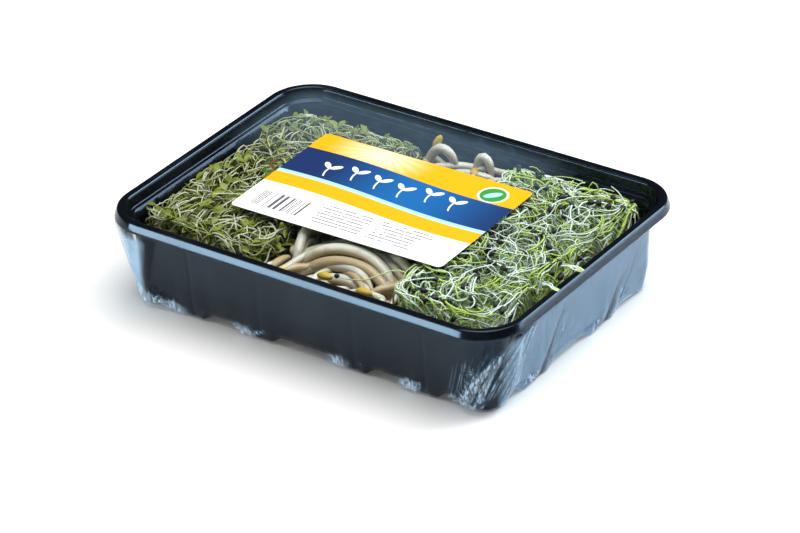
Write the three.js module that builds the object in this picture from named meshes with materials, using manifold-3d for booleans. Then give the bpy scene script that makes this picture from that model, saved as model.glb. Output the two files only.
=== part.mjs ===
// A packed tray of mixed sprouts: a black tray, three beds of sprouts, clear film round it and a label on it.
// Millimetres, +Z up. The origin is at the centre of the footprint, on the surface that the pack stands on,
// with the tray's length along X.

import * as THREE from 'three';
import { mergeVertices } from 'three/addons/utils/BufferGeometryUtils.js';
import Module from 'manifold-3d';

const wasm = await Module();
wasm.setup();

// Tray: the outline of its lip, its height over the feet and the depth of its base under the bead
const TRAY_LENGTH = 187;
const TRAY_WIDTH = 137;
const LIP_RADIUS = 20;
const LEAST_RADIUS = 3;
const TRAY_HEIGHT = 40.4;
const BASE_DEPTH = 37.5;
const FOOT_HEIGHT = TRAY_HEIGHT - BASE_DEPTH;
const SHEET = 0.8;

// Feet: their places along the long and the short sides, and a foot's half widths at its root and its flat
const LONG_SIDE_FEET = [-54.5, -22, 22, 54.5];
const SHORT_SIDE_FEET = [-23.3, 23.3];
const FOOT_ROOT = 9;
const FOOT_FLAT = 3.5;

// Film: its thickness, its gap to what it lies on, the width folded under the base and its corner pleats
const FILM = 0.3;
const GAP = 0.3;
const FOLD_UNDER = 36;
const PLEAT_DEPTH = 0.45;
const PLEAT_STEPS = 8;
const FILM_LONG_PLACES = [-40, 0, 40];
const FILM_SHORT_PLACES = [-24, 24];

// Heights above the surface that the pack stands on
const BEAD_TOP = FILM + GAP + TRAY_HEIGHT;
const FILM_TOP = BEAD_TOP + GAP + FILM;

// Label, turned by a little under a degree
const LABEL = { length: 96, width: 66, corner: 3.5, thickness: 0.25, x: -3.5, y: -1.5, turn: 0.7 };

// Beds: the lines that part them, as X at the front and at the back wall, and how close their strands come
const CLOVER_EDGE = { front: -24, back: -20 };
const LEEK_EDGE = { front: 38, back: 18 };
const OUTER_EDGE = TRAY_LENGTH / 2;
const BED_GAP = 0.4;
const WALL_INSET = 10.4;
const CEILING = BEAD_TOP - 0.2;
const ROOT_DEPTH = 2;
const FIELD_CELL = 1;
const MAT_CELL = 8.5;
const RESTING_GAP = 0.1;
const BARE_HEIGHT = 0.9;
const TURN_TRIES = 12;
const TURN_STEP = 0.5;
const SLICE_TOP = 60;

const COLOURS = {
  tray: 0x1b222b,
  film: 0xcfe0ee,
  label: 0xf3c11c,
  clover: 0xa9b878,
  mung: 0xe9e4cf,
  leek: 0xb4cf6a,
};

// Repeatable random numbers from 0 to 1
function randomFrom(seed) {
  let state = seed;
  return () => {
    state = (state + 0x6d2b79f5) | 0;
    let mixed = Math.imul(state ^ (state >>> 15), 1 | state);
    mixed = (mixed + Math.imul(mixed ^ (mixed >>> 7), 61 | mixed)) ^ mixed;
    return ((mixed ^ (mixed >>> 14)) >>> 0) / 4294967296;
  };
}

function between(random, low, high) {
  return low + (high - low) * random();
}

function smoothStep(t) {
  const s = Math.min(Math.max(t, 0), 1);
  return s * s * (3 - 2 * s);
}

function indexed(points, index) {
  const geometry = new THREE.BufferGeometry();
  const numbers = points.flatMap((point) => point.toArray());
  geometry.setAttribute('position', new THREE.Float32BufferAttribute(numbers, 3));
  geometry.setIndex(index);
  return geometry;
}

// Stations round a rounded rectangle, anticlockwise from the +X side: places along each side, then steps of
// its arc
function stations(longPlaces, shortPlaces, arcSteps) {
  const halfLong = TRAY_LENGTH / 2 - LIP_RADIUS;
  const halfShort = TRAY_WIDTH / 2 - LIP_RADIUS;
  const quarter = (turns) => {
    const isShort = turns % 2 === 0;
    const places = isShort ? shortPlaces : longPlaces;
    const half = isShort ? halfShort : halfLong;
    const side = places.map((place) => ({ turns, isArc: false, isShort, place, share: place / half }));
    const arc = Array.from({ length: arcSteps + 1 }, (_, step) => ({
      turns,
      isArc: true,
      step,
      share: step / arcSteps,
    }));
    return [...side, ...arc];
  };
  return [0, 1, 2, 3].flatMap(quarter);
}

// A station's point on the outline that lies `inset` inside the lip's own
function outlinePoint(station, inset, z) {
  const radius = Math.max(LIP_RADIUS - inset, LEAST_RADIUS);
  const cornerX = TRAY_LENGTH / 2 - inset - radius;
  const cornerY = TRAY_WIDTH / 2 - inset - radius;
  const turn = (station.turns * Math.PI) / 2;
  if (station.isArc) {
    const angle = turn + (station.share * Math.PI) / 2;
    const signX = station.turns === 0 || station.turns === 3 ? 1 : -1;
    const signY = station.turns < 2 ? 1 : -1;
    const x = signX * cornerX + radius * Math.cos(angle);
    const y = signY * cornerY + radius * Math.sin(angle);
    return new THREE.Vector3(x, y, z);
  }
  const across = radius + (station.isShort ? cornerX : cornerY);
  const along = station.share * (station.isShort ? cornerY : cornerX);
  return new THREE.Vector3(across, along, z).applyAxisAngle(new THREE.Vector3(0, 0, 1), turn);
}

// A closed skin over rings of points, with a fan from the centre to the first ring and to the last
function skin(rings, startZ, endZ) {
  const count = rings[0].length;
  const points = [...rings.flat(), new THREE.Vector3(0, 0, startZ), new THREE.Vector3(0, 0, endZ)];
  const start = points.length - 2;
  const end = points.length - 1;
  const last = (rings.length - 1) * count;
  const index = [];
  for (let i = 0; i < count; i++) {
    const j = (i + 1) % count;
    index.push(start, i, j);
    index.push(end, last + j, last + i);
    for (let a = 0; a < last; a += count) {
      const b = a + count;
      index.push(a + i, b + i, b + j);
      index.push(a + i, b + j, a + j);
    }
  }
  return indexed(points, index);
}

// How far a foot stands down at a station, from 0 between the feet to 1 at a foot and round each corner
function footShare(station) {
  if (station.isArc) {
    const atEnd = station.share === 0 || station.share === 1;
    return atEnd ? 0.5 : 1;
  }
  const feet = station.isShort ? SHORT_SIDE_FEET : LONG_SIDE_FEET;
  const nearest = Math.min(...feet.map((foot) => Math.abs(foot - station.place)));
  return nearest > FOOT_FLAT ? 0 : 1;
}

// The tray's section from the floor over the bead to the lip, and back under it and down the outside to the
// base, each as [inset from the lip's outline, height from the bead's top, share of the foot's height]
const TRAY_SECTION = [
  [16.6, SHEET - BASE_DEPTH, 0],
  [13.6, SHEET - BASE_DEPTH, 1],
  [12.3, SHEET - BASE_DEPTH, 1],
  [10.8, -34.4, 0],
  [8.2, -7.8, 0],
  [6.6, -5.2, 0],
  [5.3, -5, 0],
  [4.5, -0.8, 0],
  [3.8, 0, 0],
  [1.7, 0, 0],
  [0.8, -0.8, 0],
  [0, -3.5, 0],
  [0.1, -4, 0],
  [0.9, -4, 0],
  [1.8, -0.9, 0],
  [3.4, -0.9, 0],
  [4.4, -5.8, 0],
  [6.4, -6.4, 0],
  [7.4, -8.3, 0],
  [9.1, -30, 0],
  [9.9, -34.8, 0],
  [11.2, -BASE_DEPTH, 1],
  [14.4, -BASE_DEPTH, 1],
  [17, -BASE_DEPTH, 0],
];

function makeTray() {
  const steps = [-FOOT_ROOT, -FOOT_FLAT, FOOT_FLAT, FOOT_ROOT];
  const footPlaces = (feet) => feet.flatMap((foot) => steps.map((step) => foot + step));
  const outline = stations(footPlaces(LONG_SIDE_FEET), footPlaces(SHORT_SIDE_FEET), 4);
  const rings = TRAY_SECTION.map(([inset, height, foot]) =>
    outline.map((s) => outlinePoint(s, inset, BEAD_TOP + height - foot * footShare(s) * FOOT_HEIGHT)),
  );
  return skin(rings, BEAD_TOP + SHEET - BASE_DEPTH, BEAD_TOP - BASE_DEPTH);
}

// The film's section on its outer face, from the top over the lip and down to the window's edge under the
// base, then the inner face, each as [inset, height from the bead's top, share of the pleats]
const FILM_OUTSIDE = [
  [1.4, GAP + FILM, 0],
  [0.15, -0.45, 0],
  [-0.65, -3.5, 0],
  [-0.6, -4.7, 0.3],
  [2, -14.1, 1],
  [7.6, -35.1, 1],
  [9.45, -39.75, 0.6],
  [10.9, -BEAD_TOP, 0],
  [FOLD_UNDER, -BEAD_TOP, 0],
];
const FILM_INSIDE = [
  [1.5, GAP, 0],
  [0.45, -0.6, 0],
  [-0.35, -3.5, 0],
  [-0.3, -4.6, 0.3],
  [2.3, -14, 1],
  [7.9, -35, 1],
  [9.7, -39.6, 0.6],
  [11, FILM - BEAD_TOP, 0],
  [FOLD_UNDER, FILM - BEAD_TOP, 0],
];

function makeFilm() {
  const outline = stations(FILM_LONG_PLACES, FILM_SHORT_PLACES, PLEAT_STEPS);
  const ring = ([inset, height, pleat]) =>
    outline.map((s) => {
      const fold = s.isArc ? pleat * PLEAT_DEPTH * (s.step % 2 === 0 ? 1 : -1) : 0;
      return outlinePoint(s, inset + fold, BEAD_TOP + height);
    });
  const rings = [...FILM_OUTSIDE.map(ring), ...FILM_INSIDE.map(ring).reverse()];
  return skin(rings, FILM_TOP, FILM_TOP - FILM);
}

function makeLabel() {
  const { length, width, corner, thickness } = LABEL;
  const shape = new THREE.Shape();
  const arcAt = (signX, signY, start) =>
    shape.absarc(
      signX * (length / 2 - corner),
      signY * (width / 2 - corner),
      corner,
      start,
      start + Math.PI / 2,
      false,
    );
  arcAt(1, -1, -Math.PI / 2);
  arcAt(1, 1, 0);
  arcAt(-1, 1, Math.PI / 2);
  arcAt(-1, -1, Math.PI);
  return new THREE.ExtrudeGeometry(shape, { depth: thickness, bevelEnabled: false, curveSegments: 2 });
}

// A closed solid for joining and cutting
function solid(geometry) {
  const bare = geometry.clone();
  bare.deleteAttribute('normal');
  bare.deleteAttribute('uv');
  const merged = mergeVertices(bare, 1e-4);
  const mesh = new wasm.Mesh({
    numProp: 3,
    vertProperties: new Float32Array(merged.attributes.position.array),
    triVerts: new Uint32Array(merged.index.array),
  });
  return new wasm.Manifold(mesh);
}

function geometryOf(manifold) {
  const mesh = manifold.getMesh();
  const geometry = new THREE.BufferGeometry();
  geometry.setAttribute('position', new THREE.Float32BufferAttribute(mesh.vertProperties, 3));
  geometry.setIndex(Array.from(mesh.triVerts));
  return geometry;
}

// Joins a list of solids two by two, so that no join is between one large and one small solid for long
function joined(solids) {
  let left = solids;
  while (left.length > 1) {
    const next = [];
    for (let i = 0; i < left.length; i += 2) {
      next.push(i + 1 < left.length ? left[i].add(left[i + 1]) : left[i]);
    }
    left = next;
  }
  return left[0];
}

// A closed tube through points, with a radius at each
function tube(points, radii, sides) {
  const rings = [];
  let across = new THREE.Vector3(0, 0, 1);
  for (let i = 0; i < points.length; i++) {
    const ahead = points[Math.min(i + 1, points.length - 1)];
    const behind = points[Math.max(i - 1, 0)];
    const along = ahead.clone().sub(behind).normalize();
    across = across.clone().addScaledVector(along, -across.dot(along));
    if (across.lengthSq() < 1e-4) {
      across = new THREE.Vector3(1, 0, 0).addScaledVector(along, -along.x);
    }
    across.normalize();
    const over = new THREE.Vector3().crossVectors(along, across);
    for (let k = 0; k < sides; k++) {
      const angle = (2 * Math.PI * k) / sides;
      const spoke = across.clone().multiplyScalar(Math.cos(angle)).addScaledVector(over, Math.sin(angle));
      rings.push(points[i].clone().addScaledVector(spoke, radii[i]));
    }
  }
  const index = [];
  const last = (points.length - 1) * sides;
  for (let k = 0; k < sides; k++) {
    const m = (k + 1) % sides;
    for (let a = 0; a < last; a += sides) {
      const b = a + sides;
      index.push(a + k, a + m, b + m);
      index.push(a + k, b + m, b + k);
    }
  }
  for (let k = 1; k < sides - 1; k++) {
    index.push(0, k + 1, k);
    index.push(last, last + k, last + k + 1);
  }
  return indexed(rings, index);
}

// Angles round one seed leaf's oval, from its heel over its tip to the notch between the two leaves
const LOBE_ANGLES = [125, 70, 15, -35, -85].map(THREE.MathUtils.degToRad);

// Two oval seed leaves in one thin solid, spread to both sides of a stem's tip, with drooping far ends
function leafPair(tip, along, normal, { leafLength, leafWidth, leafThickness }, spread, droop) {
  const lobe = (side) =>
    LOBE_ANGLES.map((angle) => {
      const far = leafLength * (0.55 + 0.5 * Math.cos(angle));
      const wide = (leafWidth / 2) * Math.sin(angle);
      const ahead = far * Math.cos(spread) - wide * Math.sin(spread);
      const aside = far * Math.sin(spread) + wide * Math.cos(spread);
      return new THREE.Vector2(ahead, side * aside);
    });
  const heel = new THREE.Vector2(-0.15 * leafLength, 0);
  const notch = new THREE.Vector2(0.2 * leafLength, 0);
  const shape = new THREE.Shape([heel, ...lobe(-1), notch, ...lobe(1).reverse()]);
  const geometry = new THREE.ExtrudeGeometry(shape, { depth: leafThickness, bevelEnabled: false });
  const place = geometry.attributes.position;
  for (let i = 0; i < place.count; i++) {
    const reach = Math.hypot(place.getX(i), place.getY(i)) / leafLength;
    place.setZ(i, place.getZ(i) - leafThickness / 2 - droop * reach * reach);
  }
  const across = new THREE.Vector3().crossVectors(normal, along);
  const frame = new THREE.Matrix4().makeBasis(along, across, normal).setPosition(tip);
  return geometry.applyMatrix4(frame);
}

// A small egg shape for a seed or a bean half
function egg(centre, along, length, width, sides, rows) {
  const turned = new THREE.Quaternion().setFromUnitVectors(new THREE.Vector3(0, 1, 0), along);
  const geometry = new THREE.SphereGeometry(1, sides, rows);
  geometry.scale(width / 2, length / 2, width / 2);
  geometry.applyQuaternion(turned);
  geometry.translate(centre.x, centre.y, centre.z);
  return geometry;
}

// The height of what lies in a bed so far, on a grid over the tray
class Pile {
  constructor(surface) {
    this.columns = Math.ceil(TRAY_LENGTH / FIELD_CELL);
    this.rows = Math.ceil(TRAY_WIDTH / FIELD_CELL);
    this.heights = Array.from({ length: this.columns * this.rows }, (_, cell) => {
      const x = ((cell % this.columns) + 0.5) * FIELD_CELL - TRAY_LENGTH / 2;
      const y = (Math.floor(cell / this.columns) + 0.5) * FIELD_CELL - TRAY_WIDTH / 2;
      return surface(x, y);
    });
  }

  // Calls `visit(cell, share)` for the cells under a strip from a to b
  strip(a, b, radius, visit) {
    const dx = b.x - a.x;
    const dy = b.y - a.y;
    const length = Math.max(Math.hypot(dx, dy), 1e-6);
    const steps = Math.ceil(length / FIELD_CELL) + 1;
    const lanes = Math.ceil(radius / FIELD_CELL);
    for (let step = 0; step <= steps; step++) {
      for (let lane = -lanes; lane <= lanes; lane++) {
        const aside = (lane * radius) / lanes;
        const share = step / steps;
        const x = a.x + dx * share - (dy / length) * aside;
        const y = a.y + dy * share + (dx / length) * aside;
        const column = Math.floor((x + TRAY_LENGTH / 2) / FIELD_CELL);
        const row = Math.floor((y + TRAY_WIDTH / 2) / FIELD_CELL);
        if (column >= 0 && column < this.columns && row >= 0 && row < this.rows) {
          visit(row * this.columns + column, share);
        }
      }
    }
  }

  highest(a, b, radius) {
    let top = 0;
    this.strip(a, b, radius, (cell) => {
      top = Math.max(top, this.heights[cell]);
    });
    return top;
  }

  add(points, radii, reaches) {
    for (let i = 0; i + 1 < points.length; i++) {
      this.strip(points[i], points[i + 1], reaches[i], (cell, share) => {
        const z = points[i].z + (points[i + 1].z - points[i].z) * share + radii[i];
        this.heights[cell] = Math.max(this.heights[cell], z);
      });
    }
  }
}

// The space that the mats fill, from the top down: [inset from the lip's outline, height from the bead]
const MAT_SECTION = [
  [10, 0],
  [10, -22],
  [11.4, -34.2],
  [12.9, -36.3],
];

// The uneven top of a mat of tangled roots, as triangles on a grid over the tray
class Mat {
  constructor(level, roughness, random) {
    this.columns = Math.ceil(TRAY_LENGTH / MAT_CELL);
    this.rows = Math.ceil(TRAY_WIDTH / MAT_CELL);
    this.length = this.columns * MAT_CELL;
    this.width = this.rows * MAT_CELL;
    this.heights = Array.from(
      { length: (this.columns + 1) * (this.rows + 1) },
      () => BEAD_TOP - level + between(random, -roughness, roughness),
    );
  }

  // Columns count up along +X, and rows count up along -Y
  height(column, row) {
    return this.heights[row * (this.columns + 1) + column];
  }

  heightAt(x, y) {
    const across = (x + this.length / 2) / MAT_CELL;
    const down = (this.width / 2 - y) / MAT_CELL;
    const column = Math.min(Math.floor(across), this.columns - 1);
    const row = Math.min(Math.floor(down), this.rows - 1);
    const u = across - column;
    const v = down - row;
    const low = this.height(column, row + 1);
    const high = this.height(column + 1, row);
    if (u + v < 1) {
      const corner = this.height(column, row);
      return corner + u * (high - corner) + v * (low - corner);
    }
    const corner = this.height(column + 1, row + 1);
    return corner + (1 - u) * (low - corner) + (1 - v) * (high - corner);
  }

  block() {
    const geometry = new THREE.BoxGeometry(this.length, this.width, 2, this.columns, this.rows, 1);
    const place = geometry.attributes.position;
    for (let i = 0; i < place.count; i++) {
      const column = Math.round((place.getX(i) + this.length / 2) / MAT_CELL);
      const row = Math.round((this.width / 2 - place.getY(i)) / MAT_CELL);
      place.setZ(i, place.getZ(i) > 0 ? this.height(column, row) : 0);
    }
    return geometry;
  }
}

// A bed of sprouts: the ground between two lines across the tray, a mat of tangled roots and its strands
class Bed {
  constructor({ left, right, level, roughness, seed }) {
    this.left = left;
    this.right = right;
    this.random = randomFrom(seed);
    this.mat = new Mat(level, roughness, this.random);
    this.pile = new Pile((x, y) => this.mat.heightAt(x, y));
    this.solids = [this.matSolid()];
  }

  edgeAt(edge, y) {
    return edge.front + (edge.back - edge.front) * (y / TRAY_WIDTH + 0.5);
  }

  // True where a strand of this radius clears the tray's walls and the next bed
  holds(x, y, radius) {
    const inset = WALL_INSET + radius;
    const corner = LIP_RADIUS - WALL_INSET;
    const outX = Math.max(Math.abs(x) - (TRAY_LENGTH / 2 - inset - corner), 0);
    const outY = Math.max(Math.abs(y) - (TRAY_WIDTH / 2 - inset - corner), 0);
    const aside = radius + BED_GAP;
    const inBed = x > this.edgeAt(this.left, y) + aside && x < this.edgeAt(this.right, y) - aside;
    return inBed && Math.hypot(outX, outY) < corner;
  }

  // The mat fills the tray's foot up to its uneven top, between the bed's two lines
  matSolid() {
    const outline = stations([0], [0], 2);
    const rings = MAT_SECTION.map(([inset, height]) =>
      outline.map((s) => outlinePoint(s, inset, BEAD_TOP + height)),
    );
    const filling = solid(skin(rings, rings[0][0].z, rings[rings.length - 1][0].z));
    const half = TRAY_WIDTH / 2;
    const inner = BED_GAP / 2;
    const slice = new THREE.Shape([
      new THREE.Vector2(this.left.front + inner, -half),
      new THREE.Vector2(this.right.front - inner, -half),
      new THREE.Vector2(this.right.back - inner, half),
      new THREE.Vector2(this.left.back + inner, half),
    ]);
    const slab = new THREE.ExtrudeGeometry(slice, { depth: SLICE_TOP, bevelEnabled: false });
    return filling.intersect(solid(slab)).intersect(solid(this.mat.block()));
  }

  spot(radius) {
    for (;;) {
      const x = between(this.random, -OUTER_EDGE, OUTER_EDGE);
      const y = between(this.random, -TRAY_WIDTH / 2, TRAY_WIDTH / 2);
      if (this.holds(x, y, radius)) {
        return new THREE.Vector3(x, y, 0);
      }
    }
  }

  // A curving route over the bed, turned back where it would leave it
  route({ radius, step, points: count, curl, wander }) {
    const points = [this.spot(radius)];
    let heading = between(this.random, 0, 2 * Math.PI);
    const bend = between(this.random, -curl, curl);
    while (points.length < count) {
      heading += bend + between(this.random, -wander, wander);
      const from = points[points.length - 1];
      let next = null;
      for (let turn = 0; turn < TURN_TRIES && next === null; turn++) {
        const tried = heading + Math.ceil(turn / 2) * (turn % 2 === 0 ? TURN_STEP : -TURN_STEP);
        const x = from.x + step * Math.cos(tried);
        const y = from.y + step * Math.sin(tried);
        if (this.holds(x, y, radius)) {
          next = new THREE.Vector3(x, y, 0);
          heading = tried;
        }
      }
      if (next === null) {
        return null;
      }
      points.push(next);
    }
    return points;
  }

  // True where nothing lies on the mat yet along the stretch that a root comes down
  isBare(root, next, reach) {
    const mat = Math.max(this.mat.heightAt(root.x, root.y), this.mat.heightAt(next.x, next.y));
    return this.pile.highest(root, next, reach) < mat + BARE_HEIGHT;
  }

  // Rests a route on the pile, arched by its spring. Returns false where it would touch the film
  rest(points, radii, reaches, spring) {
    const last = points.length - 1;
    const need = points.map((point, i) => {
      const before = this.pile.highest(points[Math.max(i - 1, 0)], point, reaches[i]);
      const after = this.pile.highest(point, points[Math.min(i + 1, last)], reaches[i]);
      return Math.max(before, after) + radii[i] + RESTING_GAP;
    });
    points.forEach((point, i) => {
      point.z = need[i] + spring * Math.sin((Math.PI * i) / last);
    });
    for (let i = 1; i < last; i++) {
      points[i].z = Math.max(need[i], (points[i - 1].z + points[i + 1].z) / 2);
    }
    return points.every((point, i) => point.z + radii[i] < CEILING);
  }

  // Sinks the end of a strand into the mat
  root(point) {
    point.z = this.mat.heightAt(point.x, point.y) - ROOT_DEPTH;
  }

  addStrand(points, radii, sides) {
    this.solids.push(solid(tube(points, radii, sides)));
    this.pile.add(points, radii, radii);
  }

  addSolid(geometry) {
    this.solids.push(solid(geometry));
  }

  geometry() {
    return geometryOf(joined(this.solids));
  }
}

// Clover-like sprouts: a pale stem that rises out of the mat and lies over it, two seed leaves at its tip
const CLOVER = {
  count: 38,
  radius: 0.65,
  step: 5.4,
  points: 6,
  curl: 0.35,
  wander: 0.35,
  leafLength: 5.4,
  leafWidth: 3.4,
  leafThickness: 0.8,
  leafReach: 3.4,
  springs: [1, 3],
  spreads: [0.62, 0.8],
  droops: [0, 0.5],
};

function makeClover() {
  const bed = new Bed({
    left: { front: -OUTER_EDGE, back: -OUTER_EDGE },
    right: CLOVER_EDGE,
    level: 12,
    roughness: 2.4,
    seed: 11,
  });
  const stem = Array(CLOVER.points).fill(CLOVER.radius);
  const radii = [...stem, CLOVER.leafThickness];
  const reaches = [...stem.slice(1), CLOVER.leafReach, CLOVER.leafReach];
  let placed = 0;
  while (placed < CLOVER.count) {
    const points = bed.route({ ...CLOVER, points: radii.length });
    if (points !== null && growClover(bed, points, radii, reaches)) {
      placed += 1;
    }
  }
  return bed.geometry();
}

// The route's last point is where the leaves reach to, so the stem ends one point before it
function growClover(bed, points, radii, reaches) {
  const end = points[points.length - 1];
  const tip = points[points.length - 2];
  const fits = bed.holds(end.x, end.y, CLOVER.leafReach) && bed.isBare(points[0], points[1], CLOVER.radius);
  if (!fits || !bed.rest(points, radii, reaches, between(bed.random, ...CLOVER.springs))) {
    return false;
  }
  tip.z = Math.max(tip.z, end.z);
  end.z = tip.z;
  bed.root(points[0]);
  bed.addStrand(points.slice(0, -1), radii.slice(0, -1), 3);
  const along = end.clone().sub(tip).normalize();
  const spread = between(bed.random, ...CLOVER.spreads);
  const droop = between(bed.random, ...CLOVER.droops);
  bed.addSolid(leafPair(tip, along, new THREE.Vector3(0, 0, 1), CLOVER, spread, droop));
  bed.pile.add([tip, end], [CLOVER.leafThickness], [CLOVER.leafReach]);
  return true;
}

// Mung bean sprouts: thick curved stems that taper to a root, with a split bean at the head
const MUNG = {
  count: 13,
  radius: 2.1,
  step: 7,
  points: 8,
  curl: 0.5,
  wander: 0.25,
  taperStart: 0.55,
  rootShare: 0.35,
  beanLength: 8,
  beanWidth: 4.6,
  springs: [0, 2],
};

// The sprouts that show most, as points of their middle lines with heights from the bead's top
const MUNG_FEATURES = [
  [
    [-17, -43, -17],
    [-11.3, -40.4, -9.5],
    [-4.5, -37.9, -5],
    [3.5, -35.4, -3.4],
    [13, -34.5, -4.4],
    [21, -36, -7.5],
    [26.7, -38.5, -12],
    [29, -41, -18],
  ],
  [
    [-19, -22, -18],
    [-19.3, -26, -9],
    [-19.2, -30.5, -4],
    [-17.1, -37.4, -7],
    [-15, -43.7, -13],
    [-14.5, -46, -19],
  ],
  [
    [-17.5, 48.6, -17],
    [-15.5, 50.4, -8],
    [-11.8, 51.2, -4],
    [-7.4, 51.3, -5],
    [-4.7, 52.2, -11],
    [-4.2, 52.6, -18],
  ],
  [
    [4.4, 52.4, -18],
    [4.8, 53.4, -8],
    [6.5, 54, -4],
    [9.8, 54, -6],
    [11.1, 53.6, -12],
    [11.4, 53, -18],
  ],
];

// A stem keeps its girth up to `taperStart` of its length and ends in a root of `rootShare` of its radius
function stemRadii({ points, radius, taperStart, rootShare }) {
  return Array.from({ length: points }, (_, i) => {
    const along = (i / (points - 1) - taperStart) / (1 - taperStart);
    return radius * (1 - (1 - rootShare) * smoothStep(along));
  });
}

function makeMung() {
  const bed = new Bed({ left: CLOVER_EDGE, right: LEEK_EDGE, level: 15, roughness: 2, seed: 5 });
  for (const feature of MUNG_FEATURES) {
    const points = feature.map(([x, y, height]) => new THREE.Vector3(x, y, BEAD_TOP + height));
    bed.addStrand(points, Array(points.length).fill(MUNG.radius), 6);
  }
  const radii = stemRadii(MUNG);
  let placed = 0;
  while (placed < MUNG.count) {
    const points = bed.route({ ...MUNG, radius: MUNG.beanWidth / 2 });
    const last = MUNG.points - 1;
    const fits = points !== null && bed.isBare(points[last], points[last - 1], radii[last]);
    if (fits && bed.rest(points, radii, radii, between(bed.random, ...MUNG.springs))) {
      bed.root(points[last]);
      bed.addStrand(points, radii, 6);
      const along = points[0].clone().sub(points[1]).normalize();
      bed.addSolid(egg(points[0], along, MUNG.beanLength, MUNG.beanWidth, 6, 4));
      placed += 1;
    }
  }
  return bed.geometry();
}

// Leek sprouts: long thin curly threads with both ends in the mat, every other one with a seed coat on it
const LEEK = {
  count: 40,
  radius: 0.5,
  step: 5.5,
  points: 11,
  curl: 0.55,
  wander: 0.4,
  seedRadius: 1.2,
  seedHalfLength: 1.8,
  springs: [0, 2.5],
};

function makeLeek() {
  const bed = new Bed({
    left: LEEK_EDGE,
    right: { front: OUTER_EDGE, back: OUTER_EDGE },
    level: 10,
    roughness: 2.4,
    seed: 23,
  });
  const middle = Math.floor(LEEK.points / 2);
  let placed = 0;
  while (placed < LEEK.count) {
    const points = bed.route(LEEK);
    const hasSeed = placed % 2 === 0;
    const radii = Array(LEEK.points).fill(LEEK.radius);
    radii[middle] = hasSeed ? LEEK.seedRadius : LEEK.radius;
    if (points !== null && growLeek(bed, points, radii)) {
      placed += 1;
    }
  }
  return bed.geometry();
}

function growLeek(bed, points, radii) {
  const last = points.length - 1;
  const startFits = bed.isBare(points[0], points[1], LEEK.radius);
  const endFits = bed.isBare(points[last], points[last - 1], LEEK.radius);
  if (!startFits || !endFits || !bed.rest(points, radii, radii, between(bed.random, ...LEEK.springs))) {
    return false;
  }
  bed.root(points[0]);
  bed.root(points[last]);
  const seed = radii.findIndex((radius) => radius > LEEK.radius);
  if (seed > 0) {
    const share = LEEK.seedHalfLength / LEEK.step;
    const before = points[seed].clone().lerp(points[seed - 1], share);
    const after = points[seed].clone().lerp(points[seed + 1], share);
    points.splice(seed, 1, before, points[seed], after);
    radii.splice(seed, 1, LEEK.radius, LEEK.seedRadius, LEEK.radius);
  }
  bed.addStrand(points, radii, 3);
  return true;
}

function piece(name, geometry, colour, roughness, metalness = 0) {
  const material = new THREE.MeshStandardMaterial({ color: colour, roughness, metalness });
  const mesh = new THREE.Mesh(geometry, material);
  mesh.name = name;
  return mesh;
}

const pack = new THREE.Group();
pack.name = 'mixed_sprouts';
pack.add(piece('tray', makeTray(), COLOURS.tray, 0.25));

const film = piece('film', makeFilm(), COLOURS.film, 0.08);
film.material.transparent = true;
film.material.opacity = 0.25;
pack.add(film);

const label = piece('label', makeLabel(), COLOURS.label, 0.45);
label.position.set(LABEL.x, LABEL.y, FILM_TOP + GAP);
label.rotation.z = THREE.MathUtils.degToRad(LABEL.turn);
pack.add(label);

pack.add(piece('clover_sprouts', makeClover(), COLOURS.clover, 0.55));
pack.add(piece('mung_sprouts', makeMung(), COLOURS.mung, 0.3));
pack.add(piece('leek_sprouts', makeLeek(), COLOURS.leek, 0.5));

export default pack;
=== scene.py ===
"""A packed tray of mixed sprouts: black tray, three beds of sprouts, stretched film and a printed label.

Shapes are worked out in millimetres and become metres where a mesh is made. The row's frame has its origin
at the centre of the footprint, with the tray's length along X and the surface that it stands on at Z = 0.
"""

import logging
import math
from collections.abc import Iterator, Sequence
from dataclasses import dataclass, field
from enum import Enum
from typing import ClassVar

import bmesh
import bpy
import numpy as np
from mathutils import Matrix, Vector


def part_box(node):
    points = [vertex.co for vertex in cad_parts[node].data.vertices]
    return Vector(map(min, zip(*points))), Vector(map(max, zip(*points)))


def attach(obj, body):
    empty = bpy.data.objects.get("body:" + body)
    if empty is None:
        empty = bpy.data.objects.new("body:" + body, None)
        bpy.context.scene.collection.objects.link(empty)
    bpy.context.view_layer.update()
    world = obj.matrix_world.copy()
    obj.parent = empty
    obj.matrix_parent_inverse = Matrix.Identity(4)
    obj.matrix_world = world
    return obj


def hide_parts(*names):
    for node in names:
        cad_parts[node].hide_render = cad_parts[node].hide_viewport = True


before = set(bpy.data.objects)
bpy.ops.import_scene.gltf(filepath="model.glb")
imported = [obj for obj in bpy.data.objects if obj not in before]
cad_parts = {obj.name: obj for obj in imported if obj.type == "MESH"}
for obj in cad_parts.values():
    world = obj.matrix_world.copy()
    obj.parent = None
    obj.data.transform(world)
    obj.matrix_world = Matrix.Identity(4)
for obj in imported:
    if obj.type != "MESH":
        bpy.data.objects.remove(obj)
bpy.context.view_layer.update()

Colour = tuple[float, float, float]
Point = tuple[float, float, float]
Pair = tuple[float, float]
Array = np.ndarray
Mesh = bpy.types.Mesh
Item = bpy.types.Object
Material = bpy.types.Material

MM = 0.001
BODY = "root"
LOG = logging.getLogger("mixed_sprouts")


def smooth(values: Array) -> Array:
    """Returns a smooth step from 0 to 1 over values from 0 to 1."""
    held = np.clip(values, 0.0, 1.0)
    return held * held * (3.0 - 2.0 * held)


def box_mm(node: str) -> tuple[Array, Array]:
    """Returns a node's lowest and highest corners in millimetres."""
    low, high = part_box(node)
    return np.array(low) / MM, np.array(high) / MM


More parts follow.
